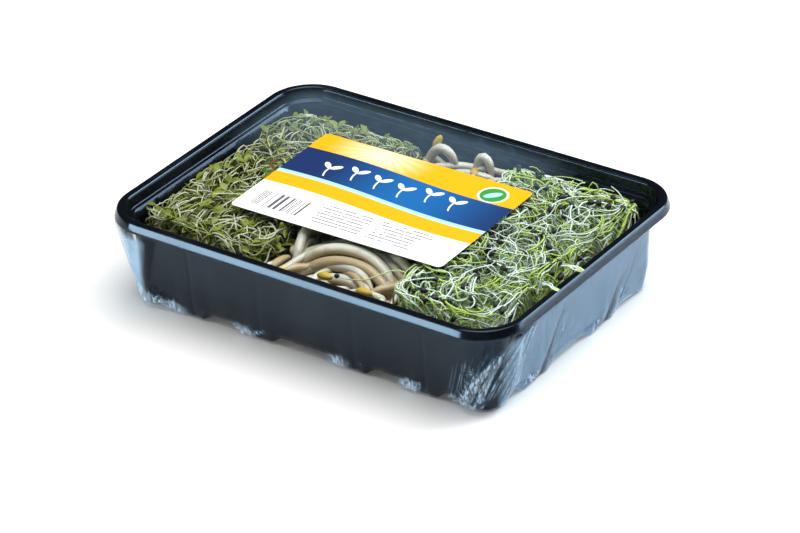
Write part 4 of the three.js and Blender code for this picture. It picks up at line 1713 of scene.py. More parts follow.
@dataclass
class Bed:
    """A bed of sprouts: its strands, and how they grow and lie.

    Attributes:
        ring_step: The distance between a strand's rings.
        girth: The least and the greatest radius.
        length: The least and the greatest length.
        curl: How tightly they bend, in radians for each millimetre.
        change: How fast their bend changes.
        spring: The least and the greatest height that a strand arches up by itself.
        dive: How deep a root goes down into the pile.
        stiffness: Over how many millimetres a strand's line is evened out.
        below_bead: How far the bed's top lies below the bead.
        slump: How much lower that is at the back wall, and slump_reach how far from it.
        margin: How near to the bed's edge a strand turns back, at least and at most.
        turn_back: By how much it turns there with each step.
    """

    pile: Pile
    ground: Ground
    finish: StemSkin
    ring_step: float
    sides: int
    girth: Pair
    length: Pair
    curl: float
    change: float
    spring: Pair
    dive: float
    stiffness: int
    count: int
    seed: int
    below_bead: float
    slump: float
    slump_reach: float = 20.0
    margin: Pair = (1.0, 3.5)
    turn_back: float = 0.38
    look_ahead: float = 3.0
    steadiness: float = 0.96
    strands: list[Strand] = field(default_factory=list)

    def __post_init__(self) -> None:
        """Starts the bed's random draws."""
        self.random = np.random.default_rng(self.seed)

    def skinned(self, name: str, slot: str) -> Item:
        """Skins the bed's strands.

        Args:
            name: The piece's name.
            slot: The record's material slot.

        Returns:
            The piece.
        """
        material = self.finish.material()
        inputs = {"Step": self.ring_step * MM, "Sides": self.sides, "Material": material}
        mesh = StrandTree().grow(name, merged_paths(name + "_lines", self.strands), inputs)
        return shown(name, mesh, material, slot)

    def uniform(self, limits: Pair) -> float:
        """Returns a random number between two limits."""
        return float(self.random.uniform(*limits))

    def ceiling(self, y: Array) -> Array:
        """Returns how high the bed may reach over places, less at the back wall, where it has slumped."""
        gap = TRAY_WIDTH / 2 - 8.0 - y
        return BEAD_TOP - self.below_bead - self.slump * (1.0 - smooth(gap / self.slump_reach))

    def start(self) -> Array:
        """Draws a place in the bed.

        Returns:
            Its X and Y.
        """
        for _ in range(1000):
            x = self.uniform((-TRAY_LENGTH / 2, TRAY_LENGTH / 2))
            y = self.uniform((-TRAY_WIDTH / 2, TRAY_WIDTH / 2))
            if self.ground.room(x, y) > 1.0:
                return np.array([x, y])
        raise RuntimeError("no place found in the bed")

    def route(self, length: float) -> Array:
        """Wanders over the bed in steps of a millimetre, and turns back before it leaves the bed.

        Args:
            length: How long the route may get.

        Returns:
            The route's X and Y.
        """
        place = self.start()
        heading = self.uniform((0.0, 2 * math.pi))
        bend = self.random.normal(0.0, self.curl)
        places = [place]
        liveliness = self.uniform((0.35, 1.5))
        margin = self.uniform(self.margin)
        for change in self.random.normal(0.0, self.change * liveliness, int(length)):
            bend = self.steadiness * bend + change
            heading += bend
            look = place + self.look_ahead * np.array([math.cos(heading), math.sin(heading)])
            if self.ground.room(look[0], look[1]) < margin:
                rooms = [
                    self.ground.room(place[0] + 4 * math.cos(turned), place[1] + 4 * math.sin(turned))
                    for turned in (heading - 0.9, heading + 0.9)
                ]
                heading += -self.turn_back if rooms[0] > rooms[1] else self.turn_back
            place = place + np.array([math.cos(heading), math.sin(heading)])
            if self.ground.room(place[0], place[1]) < 0.0:
                break
            places.append(place)
        return np.array(places)

    def routes(self, count: int, length: Pair, least: float, tries: int) -> Iterator[Array]:
        """Draws routes until the bed has its strands or every try is used up.

        Args:
            count: How many strands the bed has after it.
            length: The routes' least and greatest length.
            least: How long one has to be after the turns that the bed's edge forces on it.
            tries: How many tries there are for each strand.

        Returns:
            The routes that are long enough.
        """
        for _ in range(tries * count):
            if len(self.strands) >= count:
                return
            places = self.route(self.uniform(length))
            if len(places) >= least:
                yield places

    def beside(self, places: Array, count: int, spread: float) -> list[Array]:
        """Finds routes that run beside one another.

        Args:
            places: The first route.
            count: How many there are beside it.
            spread: How far from it they are, more or less.

        Returns:
            All the routes, with the parts that lie in the bed.
        """
        ahead = np.gradient(places, axis=0)
        ahead /= np.maximum(np.linalg.norm(ahead, axis=1, keepdims=True), 1e-6)
        across = np.column_stack([-ahead[:, 1], ahead[:, 0]])
        share = np.linspace(0.0, 1.0, len(places))
        routes = [places]
        for first, last, bow in self.random.normal(0.0, spread, (count, 3)):
            shift = first + (last - first) * share + bow * np.sin(math.pi * share)
            found = places + across * shift[:, None]
            inside = self.ground.room(found[:, 0], found[:, 1]) > 0.0
            stop = len(found) if inside.all() else int(np.argmin(inside))
            routes.append(found[:stop])
        return routes

    def settle(self, places: Array, girth: Array, spring: float, dives: Sequence[float]) -> Array | None:
        """Lays a route on the pile.

        Args:
            places: Its X and Y.
            girth: Its radius at each point.
            spring: How far it arches up by itself.
            dives: How deep its start and its end go down into the pile, less than 0 where one rises.

        Returns:
            Its points, or None where it doesn't fit under the film.
        """
        need = self.pile.least(places, girth)
        distance = np.arange(len(places), dtype=float)
        for dive, away in zip(dives, (distance, distance[::-1])):
            need = need - dive * (1.0 - smooth(away / (2.0 * abs(dive) + 3.0)))
        top = self.ceiling(places[:, 1]) - girth
        if np.any(need > top):
            return None
        reach = self.stiffness
        padded = np.pad(need, 2 * reach, mode="edge")
        highest = np.max([padded[k : k + len(need) + 2 * reach] for k in range(2 * reach + 1)], axis=0)
        kernel = np.hanning(2 * reach + 3)[1:-1]
        height = np.convolve(highest, kernel / kernel.sum(), mode="valid")
        height = height + spring * np.sin(math.pi * distance / len(places)) ** 2
        return np.column_stack([places, np.minimum(height, top)])

    def lay(self, path: Array, girth: Array, tint: float) -> None:
        """Adds a strand to the bed and the pile."""
        self.pile.add(path, girth)
        self.strands.append(Strand(path, girth, tint))


@dataclass
class CloverBed(Bed):
    """Thin pale stems, each with two seed leaves at its tip, over a mat of roots."""

    ground: Ground = Ground((-95.0, -95.0), (-24.0, -20.0), 12.0)
    finish: StemSkin = StemSkin(
        name="clover_stem",
        root=(0.34, 0.30, 0.16), body=(0.46, 0.52, 0.37),
        other=(0.25, 0.29, 0.08), tip=(0.26, 0.32, 0.07),
        other_share=0.45, roughness=0.32, glow=0.2, glow_depth=0.8,
        stain=(0.33, 0.26, 0.14), stain_share=0.45,
        # under: painted shade of the stems' sides and undersides.
        under=(0.20, 0.19, 0.06), underside_shade_share=0.5,
    )
    ring_step: float = 1.8
    sides: int = 4
    girth: Pair = (0.26, 0.52)
    length: Pair = (14.0, 33.0)
    curl: float = 0.035
    change: float = 0.012
    spring: Pair = (0.5, 6.0)
    dive: float = 4.0
    stiffness: int = 2
    count: int = 500
    seed: int = 29
    below_bead: float = 2.5
    slump: float = 6.0
    slump_reach: float = 26.0
    mat: ClassVar[Mat] = Mat(
        name="clover_mat",
        ground=ground,
        level=15.0,
        # The dark ground is painted shade of the depth among the stems.
        finish=RootMat("clover_roots", (0.030, 0.026, 0.008), (0.28, 0.28, 0.10), (0.10, 0.12, 0.012)),
        slot="clover_sprouts",
        seed=3,
    )
    leaves: list[Copy] = field(default_factory=list)
    leaf_size: Point = (4.6, 2.9, 0.42)
    leaf_room: float = 10.8
    leaf_scale: Pair = (0.72, 1.12)
    leaf_spread: Pair = (0.25, 1.25)
    leaf_lift: Pair = (-0.1, 0.75)
    stem_gap: float = 1.1
    rise: Pair = (0.0, 4.0)
    tufts: int = 300
    tuft_length: Pair = (8.0, 17.0)
    tuft_rise: Pair = (2.0, 9.0)

    def grow(self) -> None:
        """Lays the long stems, and then short ones that stand up from them."""
        self.grow_round(self.count, self.length, self.spring, self.rise)
        self.grow_round(self.count + self.tufts, self.tuft_length, (0.0, 1.0), self.tuft_rise)

    def grow_round(self, count: int, length: Pair, spring: Pair, rise: Pair) -> None:
        """Lays stems of one kind.

        Args:
            count: How many stems the bed has after it.
            length: Their least and greatest length.
            spring: Their least and greatest arch.
            rise: How far their tips rise, at least and at most.
        """
        for first in self.routes(count, length, 6, 4):
            for places in self.beside(first, int(self.random.integers(0, 3)), self.stem_gap):
                if len(places) < max(6.0, length[0] * 0.7):
                    continue
                radius = self.uniform(self.girth)
                girth = radius * (1.0 - 0.25 * np.linspace(0.0, 1.0, len(places)))
                dives = (self.dive, -self.uniform(rise))
                path = self.settle(places, girth, self.uniform(spring), dives)
                if path is not None:
                    self.lay(path, girth, float(self.random.random()))
                    self.add_leaves(path)

    def add_leaves(self, path: Array) -> None:
        """Adds the two seed leaves at a stem's tip.

        Args:
            path: The stem's points.
        """
        along = unit(path[-1] - path[-4])
        along[2] += self.uniform(self.leaf_lift)
        up = np.array([0.0, 0.0, 1.0]) + self.random.normal(0.0, 0.45, 3)
        side = unit(np.cross(up, along))
        spread = self.uniform(self.leaf_spread)
        tint = float(self.random.random())
        for sign in (-1.0, 1.0):
            direction = along * math.cos(spread) + sign * side * math.sin(spread)
            size = self.uniform(self.leaf_scale)
            room = BEAD_TOP - 1.0 - path[-1][2]
            direction[2] = min(direction[2], room / (self.leaf_size[0] * size))
            tip = path[-1] + direction * self.leaf_size[0] * size
            if RoundedOutline().room(tip[0], tip[1], self.leaf_room) < 0.0:
                direction[:2] *= -1.0
            self.leaves.append(Copy(path[-1], direction, up + sign * side * 0.5, (size,) * 3, tint))

    def build(self) -> list[Item]:
        """Makes the stems and the leaves.

        Returns:
            Their pieces.
        """
        self.grow()
        stems = self.skinned("clover_stems", "clover_sprouts")
        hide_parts("clover_sprouts")
        shape = leaf_shape(*self.leaf_size, cup=0.5, droop=0.5)
        skin_green = LeafSkin().material()
        return [stems, scattered("clover_leaves", shape, self.leaves, skin_green, "clover_sprouts")]


@dataclass
class MungBed(Bed):
    """Thick, glossy, curved stems that taper to a thin root, with a split bean at the head."""

    ground: Ground = Ground((-24.0, -20.0), (38.0, 18.0), 10.2)
    finish: StemSkin = StemSkin(
        name="mung_stem",
        root=(0.55, 0.49, 0.33), body=(0.62, 0.63, 0.55),
        other=(0.46, 0.37, 0.22), tip=(0.42, 0.28, 0.12),
        other_share=0.4, roughness=0.2, glow=0.45, glow_depth=2.5,
        stain=(0.44, 0.34, 0.19), stain_share=0.55,
        # under: painted shade of the stems' sides and undersides.
        under=(0.32, 0.23, 0.12), underside_shade_share=0.8,
    )
    ring_step: float = 1.5
    sides: int = 16
    girth: Pair = (1.3, 1.9)
    length: Pair = (24.0, 50.0)
    curl: float = 0.03
    change: float = 0.005
    spring: Pair = (0.0, 2.0)
    dive: float = 3.0
    stiffness: int = 5
    count: int = 130
    seed: int = 17
    below_bead: float = 7.4
    slump: float = 0.0
    mat: ClassVar[Mat] = Mat(
        name="mung_mat",
        ground=ground,
        level=17.0,
        finish=RootMat("mung_roots", (0.30, 0.22, 0.10), (0.50, 0.42, 0.26), (0.30, 0.25, 0.09)),
        slot="mung_sprouts",
        seed=5,
    )
    beans: list[Copy] = field(default_factory=list)
    bean_share: float = 0.06
    bean_scale: Pair = (0.85, 1.1)
    root_length: float = 16.0
    root_share: float = 0.2
    placed: tuple[tuple[float, tuple[Point, ...]], ...] = (
        (2.3, ((-17, -43, -17), (-11.3, -40.4, -9.5), (-4.5, -37.9, -5), (3.5, -35.4, -3.6),
               (13, -34.5, -4.4), (21, -36, -7.5), (26.7, -38.5, -12), (29, -41, -18))),
        (2.2, ((-19, -18, -16), (-19.3, -24, -8), (-19.2, -30.5, -4.6), (-17.3, -37.4, -7),
               (-15.5, -43, -12), (-14.5, -46, -19))),
        (2.1, ((-18, -39, -12), (-10, -34.5, -8), (-1, -30.5, -7), (8, -29, -7), (17, -30, -7),
               (26, -33, -9), (33, -37, -15))),
        (2.2, ((-14, -48, -14), (-7.3, -43.2, -11), (1, -40.5, -9), (9, -40, -8.5), (17, -42, -10),
               (23, -45, -14))),
        (2.0, ((-16, -30, -12), (-8, -27, -9), (0, -24.5, -8), (9, -23, -9), (18, -24, -10), (27, -27, -14))),
        (1.9, ((10, -24, -12), (21.6, -28.9, -5.4), (29.3, -31.5, -7), (34.8, -35, -11), (37, -38, -17))),
        (2.0, ((-17.5, 48.6, -17), (-15.5, 50.4, -8), (-11.8, 51.2, -4), (-7.4, 51.3, -5),
               (-4.7, 52.2, -11), (-4.2, 52.6, -18))),
        (1.9, ((4.4, 52.4, -18), (4.8, 53.4, -8), (6.5, 54, -4), (9.8, 54, -6), (11.1, 53.6, -12),
               (11.4, 53, -18))),
    )
    filled: int = 5
    lower_shifts: tuple[Point, ...] = ((0.0, 0.0, 0.0), (1.5, -3.6, -3.4), (-1.0, 3.2, -4.0))
    placed_beans: tuple[tuple[Point, Point], ...] = (
        ((6.2, -54.0, -5.2), (1.0, 0.05, 0.1)),
        ((25.4, -55.6, -5.4), (1.0, 0.1, 0.0)),
        ((-14.2, 53.0, -2.6), (0.5, 0.2, 1.0)),
        ((30.0, -27.0, -9.0), (1.0, 0.6, 0.0)),
    )

    def girth_along(self, radius: float, count: int) -> Array:
        """Finds how thick a stem is from its head to the thin end of its root.

        Args:
            radius: Its greatest radius.
            count: How many points it has, a millimetre apart.

        Returns:
            The radius at each point.
        """
        distance = np.arange(count, dtype=float)
        taper = smooth((distance - (count - self.root_length)) / self.root_length)
        head = 0.25 + 0.75 * smooth(distance / 4.0) ** 0.5
        return radius * head * (1.0 - (1.0 - self.root_share) * taper)

    def place(self) -> None:
        """Lays the stems and beans whose places are known."""
        for number, (radius, points) in enumerate(self.placed):
            shifts = self.lower_shifts if number < self.filled else ((0.0, 0.0, 0.0),)
            for shift in shifts:
                path = curved(points, 1.0) + shift + (0.0, 0.0, BEAD_TOP)
                # Copies laid lower mostly get the browner tone: painted shade of the deeper layer.
                tint = self.uniform((0.45, 0.85) if any(shift) else (0.0, 0.5))
                self.lay(path, self.girth_along(radius, len(path)), tint)
        for place, along in self.placed_beans:
            middle = np.array(place) + (0.0, 0.0, BEAD_TOP)
            self.beans.append(Copy(middle, np.array(along), np.array([0.0, 0.3, 1.0]), (1.0, 0.85, 0.8), 0.5))

    def grow(self) -> None:
        """Lays all the stems."""
        for places in self.routes(self.count, self.length, self.length[0] * 0.7, 16):
            girth = self.girth_along(self.uniform(self.girth), len(places))
            path = self.settle(places, girth, self.uniform(self.spring), (0.0, self.dive))
            if path is not None:
                self.lay(path, girth, float(self.random.random()))
                if self.random.random() < self.bean_share:
                    self.add_bean(path)

    def add_bean(self, path: Array) -> None:
        """Adds the bean at a stem's head.

        Args:
            path: The stem's points.
        """
        along = unit(path[0] - path[3])
        up = np.array([0.0, 0.0, 1.0]) + self.random.normal(0.0, 0.3, 3)
        size = self.uniform(self.bean_scale)
        self.beans.append(Copy(path[0] + along * 2.0, along, up, (size,) * 3, float(self.random.random())))

    def build(self) -> list[Item]:
        """Makes the stems and the beans.

        Returns:
            Their pieces.
        """
        self.grow()
        self.place()
        stems = self.skinned("mung_stems", "mung_sprouts")
        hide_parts("mung_sprouts")
        coat = SeedCoat("mung_bean", (0.56, 0.40, 0.045), (0.34, 0.31, 0.05), 0.34).material()
        shape = seed_shape(length=7.0, width=3.9, sides=14, rows=9, dent=0.07, seed=3)
        return [stems, scattered("mung_beans", shape, self.beans, coat, "mung_sprouts")]


@dataclass
class LeekBed(Bed):
    """Long thin curly threads, white and yellow-green, with black seed coats among them."""

    ground: Ground = Ground((38.0, 18.0), (95.0, 95.0), 11.8)
    finish: StemSkin = StemSkin(
        name="leek_thread",
        root=(0.56, 0.64, 0.58), body=(0.67, 0.79, 0.74),
        other=(0.44, 0.60, 0.10), tip=(0.62, 0.76, 0.36),
        other_share=0.42, roughness=0.3, glow=0.2, glow_depth=0.7,
        stain=(0.45, 0.55, 0.22), stain_share=0.35,
        # under: painted shade of the threads' sides and undersides.
        under=(0.20, 0.30, 0.09), underside_shade_share=0.6,
    )
    ring_step: float = 1.8
    sides: int = 4
    girth: Pair = (0.20, 0.44)
    length: Pair = (32.0, 68.0)
    curl: float = 0.08
    change: float = 0.030
    spring: Pair = (0.0, 6.5)
    dive: float = 4.5
    stiffness: int = 2
    count: int = 560
    seed: int = 31
    below_bead: float = 0.4
    slump: float = 4.5
    mat: ClassVar[Mat] = Mat(
        name="leek_mat",
        ground=ground,
        level=13.0,
        # The dark ground is painted shade of the depth among the threads.
        finish=RootMat("leek_roots", (0.040, 0.060, 0.012), (0.46, 0.58, 0.22), (0.20, 0.32, 0.04)),
        slot="leek_sprouts",
        seed=7,
    )
    seeds: list[Copy] = field(default_factory=list)
    seed_share: float = 0.62
    seed_scale: Pair = (0.8, 1.15)
    thread_gap: float = 0.7
    bundle: int = 5
    upright: int = 44
    upright_room: float = -1.5
    over_bead: tuple[tuple[Point, ...], ...] = (
        ((72.0, -4.0, -6.0), (80.7, -5.0, -2.4), (86.0, -6.4, 0.0), (89.1, -7.2, 0.2), (92.2, -7.0, 0.16)),
        ((76.0, -15.0, -6.0), (83.5, -19.5, -2.4), (87.0, -23.0, 0.0), (89.3, -24.2, 0.2),
         (92.2, -24.6, 0.16)),
    )
    over_mung: tuple[Point, ...] = (
        (11.5, -52.5, -4.6), (16.5, -52.6, -4.2), (22.6, -51.5, -3.2), (26.0, -47.6, -2.2),
        (29.5, -42.0, -1.6), (33.5, -40.4, -2.0), (37.6, -42.0, -3.6), (41.6, -46.0, -4.0),
        (44.6, -50.0, -7.0),
    )
    placed_seeds: tuple[Point, ...] = ((11.0, -53.0, -4.2), (43.0, -47.6, -3.6), (29.6, -57.4, -5.6))

    def place(self) -> None:
        """Lays the threads and seed coats whose places are known, and the ones that stand up at the back."""
        for points in self.over_bead:
            for _ in range(self.bundle):
                shifts = self.random.normal(0.0, 0.8, len(points))
                moved = [(x, y + shift, z) for (x, y, z), shift in zip(points, shifts)]
                self.lay_curve(moved, self.uniform((0.18, 0.3)), self.uniform((0.0, 0.5)))
        self.lay_curve(self.over_mung, 0.27, 0.62)
        for _ in range(self.upright):
            x, y = self.uniform((24.0, 82.0)), self.uniform((38.0, 54.0))
            heading = self.random.normal(math.pi / 2, 1.1)
            reach = self.uniform((5.0, 17.0))
            ahead = np.array([math.cos(heading), math.sin(heading)]) * reach
            top = self.uniform((-5.0, -0.8))
            points = [
                (x, y, -12.0),
                (x + 0.35 * ahead[0], y + 0.3 * ahead[1], top - 2.5),
                (x + ahead[0], y + 0.7 * ahead[1], top),
                (x + 1.6 * ahead[0], y + ahead[1], top - self.uniform((0.0, 3.5))),
            ]
            if all(self.ground.room(point[0], point[1]) > self.upright_room for point in points):
                self.lay_curve(points, self.uniform((0.22, 0.34)), self.uniform((0.3, 1.0)))
        for place in self.placed_seeds:
            along = np.append(self.random.normal(0.0, 1.0, 2), 0.3)
            middle = np.array(place) + (0.0, 0.0, BEAD_TOP)
            self.seeds.append(Copy(middle, along, np.array([0.0, 0.0, 1.0]), (0.85,) * 3, 0.5))

    def lay_curve(self, points: Sequence[Point], radius: float, tint: float) -> None:
        """Lays a thread through points.

        Args:
            points: The points, with heights from the bead's top.
            radius: The thread's radius.
            tint: Its tone.
        """
        path = curved(points, 1.0)
        path[:, 2] += BEAD_TOP
        self.lay(path, np.full(len(path), radius), tint)

    def grow(self) -> None:
        """Lays all the threads."""
        for first in self.routes(self.count, self.length, self.length[0] * 0.6, 6):
            tone = float(self.random.random())
            laid = len(self.strands)
            for places in self.beside(first, int(self.random.integers(0, 6)), self.thread_gap):
                if len(places) < self.length[0] * 0.5:
                    continue
                girth = np.full(len(places), self.uniform(self.girth))
                path = self.settle(places, girth, self.uniform(self.spring), (self.dive,) * 2)
                if path is not None:
                    self.lay(path, girth, float(np.clip(tone + self.random.normal(0.0, 0.15), 0.0, 1.0)))
            if len(self.strands) > laid and self.random.random() < self.seed_share:
                self.add_seed(self.strands[-1].path)

    def add_seed(self, path: Array) -> None:
        """Adds a seed coat on a thread, about its middle.

        Args:
            path: The thread's points.
        """
        middle = int(self.uniform((0.25, 0.75)) * len(path))
        along = path[middle] - path[middle - 2]
        up = self.random.normal(0.0, 1.0, 3)
        place = path[middle] + np.array([0.0, 0.0, 0.9])
        place[2] = min(place[2], BEAD_TOP - 1.4)
        size = self.uniform(self.seed_scale)
        self.seeds.append(Copy(place, along, up, (size,) * 3, float(self.random.random())))

    def build(self) -> list[Item]:
        """Makes the threads and the seed coats.

        Returns:
            Their pieces.
        """
        self.grow()
        self.place()
        threads = self.skinned("leek_threads", "leek_sprouts")
        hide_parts("leek_sprouts")
        coat = SeedCoat("leek_seed", (0.006, 0.006, 0.008), (0.02, 0.018, 0.02), 0.35).material()
        shape = seed_shape(length=3.3, width=2.3, sides=9, rows=7, dent=0.14, seed=5)
        return [threads, scattered("leek_seeds", shape, self.seeds, coat, "leek_sprouts")]


@dataclass(frozen=True)
class LabelPrint:
    """The label's own generic print: bands, a sun's glow, sprigs, a leaf badge, ruled lines and plain bars.

    Places are millimetres from the label's lower left corner.
    """

    length: float
    width: float
    yellow: Colour = (0.86, 0.37, 0.003)
    glow: Colour = (0.92, 0.86, 0.60)
    white: Colour = (0.86, 0.86, 0.84)
    navy: Colour = (0.006, 0.022, 0.10)
    blue: Colour = (0.006, 0.11, 0.33)
    pale: Colour = (0.36, 0.62, 0.84)
    green: Colour = (0.035, 0.26, 0.035)
    ink: Colour = (0.10, 0.10, 0.11)
    sprig_pitch: float = 11.5
    sprig_level: float = 43.2
    rule_pitch: float = 2.15
    bar_pitch: float = 0.46
    sun: Pair = (30.0, 61.0)
    rays: float = 26.0
    badge: Pair = (84.5, 57.5)
    badge_turn: float = 0.8
    band_level: float = 22.0

    def ellipse(self, u: Value, v: Value, centre: Pair, size: Point) -> Value:
        """Draws a turned ellipse.

        Args:
            u: The place across.
            v: The place up.
            centre: The ellipse's middle.
            size: Its half length, its half width and its turn.

        Returns:
            1 inside it, with a soft edge.
        """
        cosine, sine = math.cos(size[2]), math.sin(size[2])
        across, up = u - centre[0], v - centre[1]
        first = (across * cosine + up * sine) / size[0]
        second = (up * cosine - across * sine) / size[1]
        return u.graph.band(first * first + second * second, 1.12, 0.88)

    def sprigs(self, x: Value, y: Value) -> Value:
        """Draws a row of sprigs, each a stem with two leaves.

        Args:
            x: The place across.
            y: The place up.

        Returns:
            1 on the sprigs.
        """
        graph = x.graph
        u = graph.math("MODULO", x, self.sprig_pitch) - self.sprig_pitch / 2
        row = graph.math("FLOOR", x / self.sprig_pitch)
        v = y - self.sprig_level + 1.3 * graph.math("SINE", row * 2.1)
        stem = graph.within(u - 0.05 * v * v, -0.34, 0.34) * graph.within(v, -5.0, 1.6)
        right = self.ellipse(u, v, (2.3, 3.0), (2.7, 1.25, 0.75))
        left = self.ellipse(u, v, (-1.9, 3.3), (2.5, 1.2, 2.35))
        both = graph.math("MAXIMUM", left, right)
        return graph.math("MAXIMUM", stem, both) * graph.within(x, 12.0, 80.0)

    def rules(self, x: Value, y: Value) -> Value:
        """Draws ruled lines of uneven length, in two columns.

        Args:
            x: The place across.
            y: The place up.

        Returns:
            1 on the lines.
        """
        graph = x.graph
        row = graph.math("FLOOR", y / self.rule_pitch)
        line = graph.within(graph.math("MODULO", y, self.rule_pitch), 0.75, 1.35)
        place = graph.value("ShaderNodeCombineXYZ", None, {"X": x, "Y": row})
        dashes = graph.band(graph.noise(graph.stretched(place, (0.5, 3.7, 1.0)), 1.0, 1.0), 0.36, 0.42)
        reach = 84.0 - 6.0 * graph.math("ABSOLUTE", graph.math("SINE", row * 2.7))
        columns = graph.within(x, 33.0, 56.0) + graph.within(x, 59.5, 86.0) * graph.band(reach - x, 0.0, 0.2)
        return line * dashes * columns * graph.within(y, 4.2, 19.4)

    def bars(self, x: Value, y: Value) -> Value:
        """Draws a block of plain upright bars.

        Args:
            x: The place across.
            y: The place up.

        Returns:
            1 on the bars.
        """
        graph = x.graph
        column = graph.math("FLOOR", x / self.bar_pitch)
        random = graph.value("ShaderNodeTexWhiteNoise", {"noise_dimensions": "1D"}, {"W": column})
        return graph.band(random, 0.50, 0.52) * graph.within(x, 6.0, 27.5) * graph.within(y, 5.0, 16.5)

    def material(self) -> Material:
        """Builds the finish.

        Returns:
            Its material.
        """
        graph = SurfaceGraph("label_print")
        uv = graph.value("ShaderNodeUVMap", {"uv_map": "print"})
        split = graph.node("ShaderNodeSeparateXYZ", None, {"Vector": uv})
        x = Value(graph, split.outputs["X"]) * self.length
        y = Value(graph, split.outputs["Y"]) * self.width
        sun = self.ellipse(x, y, self.sun, (1.0, 1.0, 0.0))
        aside, above = x - self.sun[0], y - (self.sun[1] + 1.0)
        distance = graph.math("SQRT", aside * aside + above * above * 2.2)
        angle = graph.math("ARCTAN2", y - (self.sun[1] + 5.0), aside)
        rays = 0.5 + 0.5 * graph.math("SINE", angle * self.rays)
        shine = graph.band(distance, 26.0, 0.0)
        tone = graph.mix(shine * (0.55 + 0.45 * rays) + sun * 0.1, self.yellow, self.glow)
        wave = 1.8 * graph.math("SINE", x * 0.052 + 0.6)
        lower = y - self.band_level - wave
        sky = graph.mix(graph.band(graph.math("ABSOLUTE", x - 58.0), 0.0, 46.0), self.blue, self.navy)
        tone = graph.mix(graph.within(lower, 10.6, 31.0), tone, sky)
        tone = graph.mix(graph.within(lower, 8.6, 11.0), tone, self.pale)
        tone = graph.mix(1.0 - graph.band(lower, -0.1, 0.1), tone, self.white)
        tone = graph.mix(self.sprigs(x, y), tone, self.white)
        badge = ((6.2, 6.2, self.white), (5.4, 5.4, self.green), (3.9, 1.7, self.pale))
        for half_length, half_width, colour in badge:
            size = (half_length, half_width, self.badge_turn)
            tone = graph.mix(self.ellipse(x, y, self.badge, size), tone, colour)
        marks = graph.math("MAXIMUM", self.rules(x, y), self.bars(x, y))
        tone = graph.mix(marks, tone, self.ink)
        grain = graph.noise(graph.place(), 0.25, 2.0)
        inputs = {
            "Base Color": tone,
            "Roughness": 0.34 + 0.1 * grain,
            "Normal": graph.bump(grain, 0.01),
            "Coat Weight": 0.25,
            "Coat Roughness": 0.15,
        }
        return graph.finish(inputs)


@dataclass
class Label:
    """The printed label on the film, turned by a degree."""

    length: float = 97.2
    width: float = 67.2
    corner: float = 2.2
    thickness: float = 0.16
    turn: float = 1.0
    above_bead: float = 0.52

    def build(self) -> Item:
        """Makes the label.

        Returns:
            Its piece.
        """
        outline = []
        for quarter, (sign_x, sign_y) in enumerate(((1, 1), (-1, 1), (-1, -1), (1, -1))):
            x = sign_x * (self.length / 2 - self.corner)
            y = sign_y * (self.width / 2 - self.corner)
            for angle in np.linspace(0.0, math.pi / 2, 9) + quarter * math.pi / 2:
                outline.append((x + self.corner * math.cos(angle), y + self.corner * math.sin(angle)))
        flat = np.array(outline)
        cosine, sine = math.cos(math.radians(self.turn)), math.sin(math.radians(self.turn))
        x = flat[:, 0] * cosine - flat[:, 1] * sine
        y = flat[:, 0] * sine + flat[:, 1] * cosine
        place = np.column_stack([x, y]) + ((LABEL_LOW + LABEL_HIGH) / 2)[:2]
        count = len(flat)
        low = np.full(count, BEAD_TOP + self.above_bead)
        points = [np.column_stack([place, level]) for level in (low, low + self.thickness)]
        around = list(range(count))
        faces = [[count + i for i in around], around[::-1]]
        faces.extend([i, (i + 1) % count, count + (i + 1) % count, count + i] for i in around)
        mesh = mesh_from("printed_label", np.concatenate(points), [], faces)
        layer = mesh.uv_layers.new(name="print")
        places = np.concatenate([flat, flat]) / (self.length, self.width) + 0.5
        for loop in mesh.loops:
            layer.data[loop.index].uv = places[loop.vertex_index]
        material = LabelPrint(self.length, self.width).material()
        item = shown("printed_label", mesh, material, "printed_label", is_round=False)
        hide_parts("label")
        return item


def toward(azimuth: float, elevation: float) -> Vector:
    """Returns the direction from the pack to something at an azimuth and an elevation in radians."""
    across = math.cos(elevation)
    return Vector((math.sin(azimuth) * across, -math.cos(azimuth) * across, math.sin(elevation)))


@dataclass(frozen=True)
class Softbox:
    """An oblong light that faces the pack."""

    name: str
    azimuth: float
    elevation: float
    distance: float
    size: Pair
    power: float
    colour: Colour
    aim_height: float = 0.02

    def build(self) -> None:
        """Hangs the light."""
        light = bpy.data.lights.new(self.name, "AREA")
        light.shape = "RECTANGLE"
        light.size, light.size_y = self.size
        light.energy = self.power
        light.color = self.colour
        item = link(bpy.data.objects.new(self.name, light))
        back = toward(math.radians(self.azimuth), math.radians(self.elevation))
        item.location = back * self.distance + Vector((0.0, 0.0, self.aim_height))
        item.rotation_euler = back.to_track_quat("Z", "Y").to_euler()


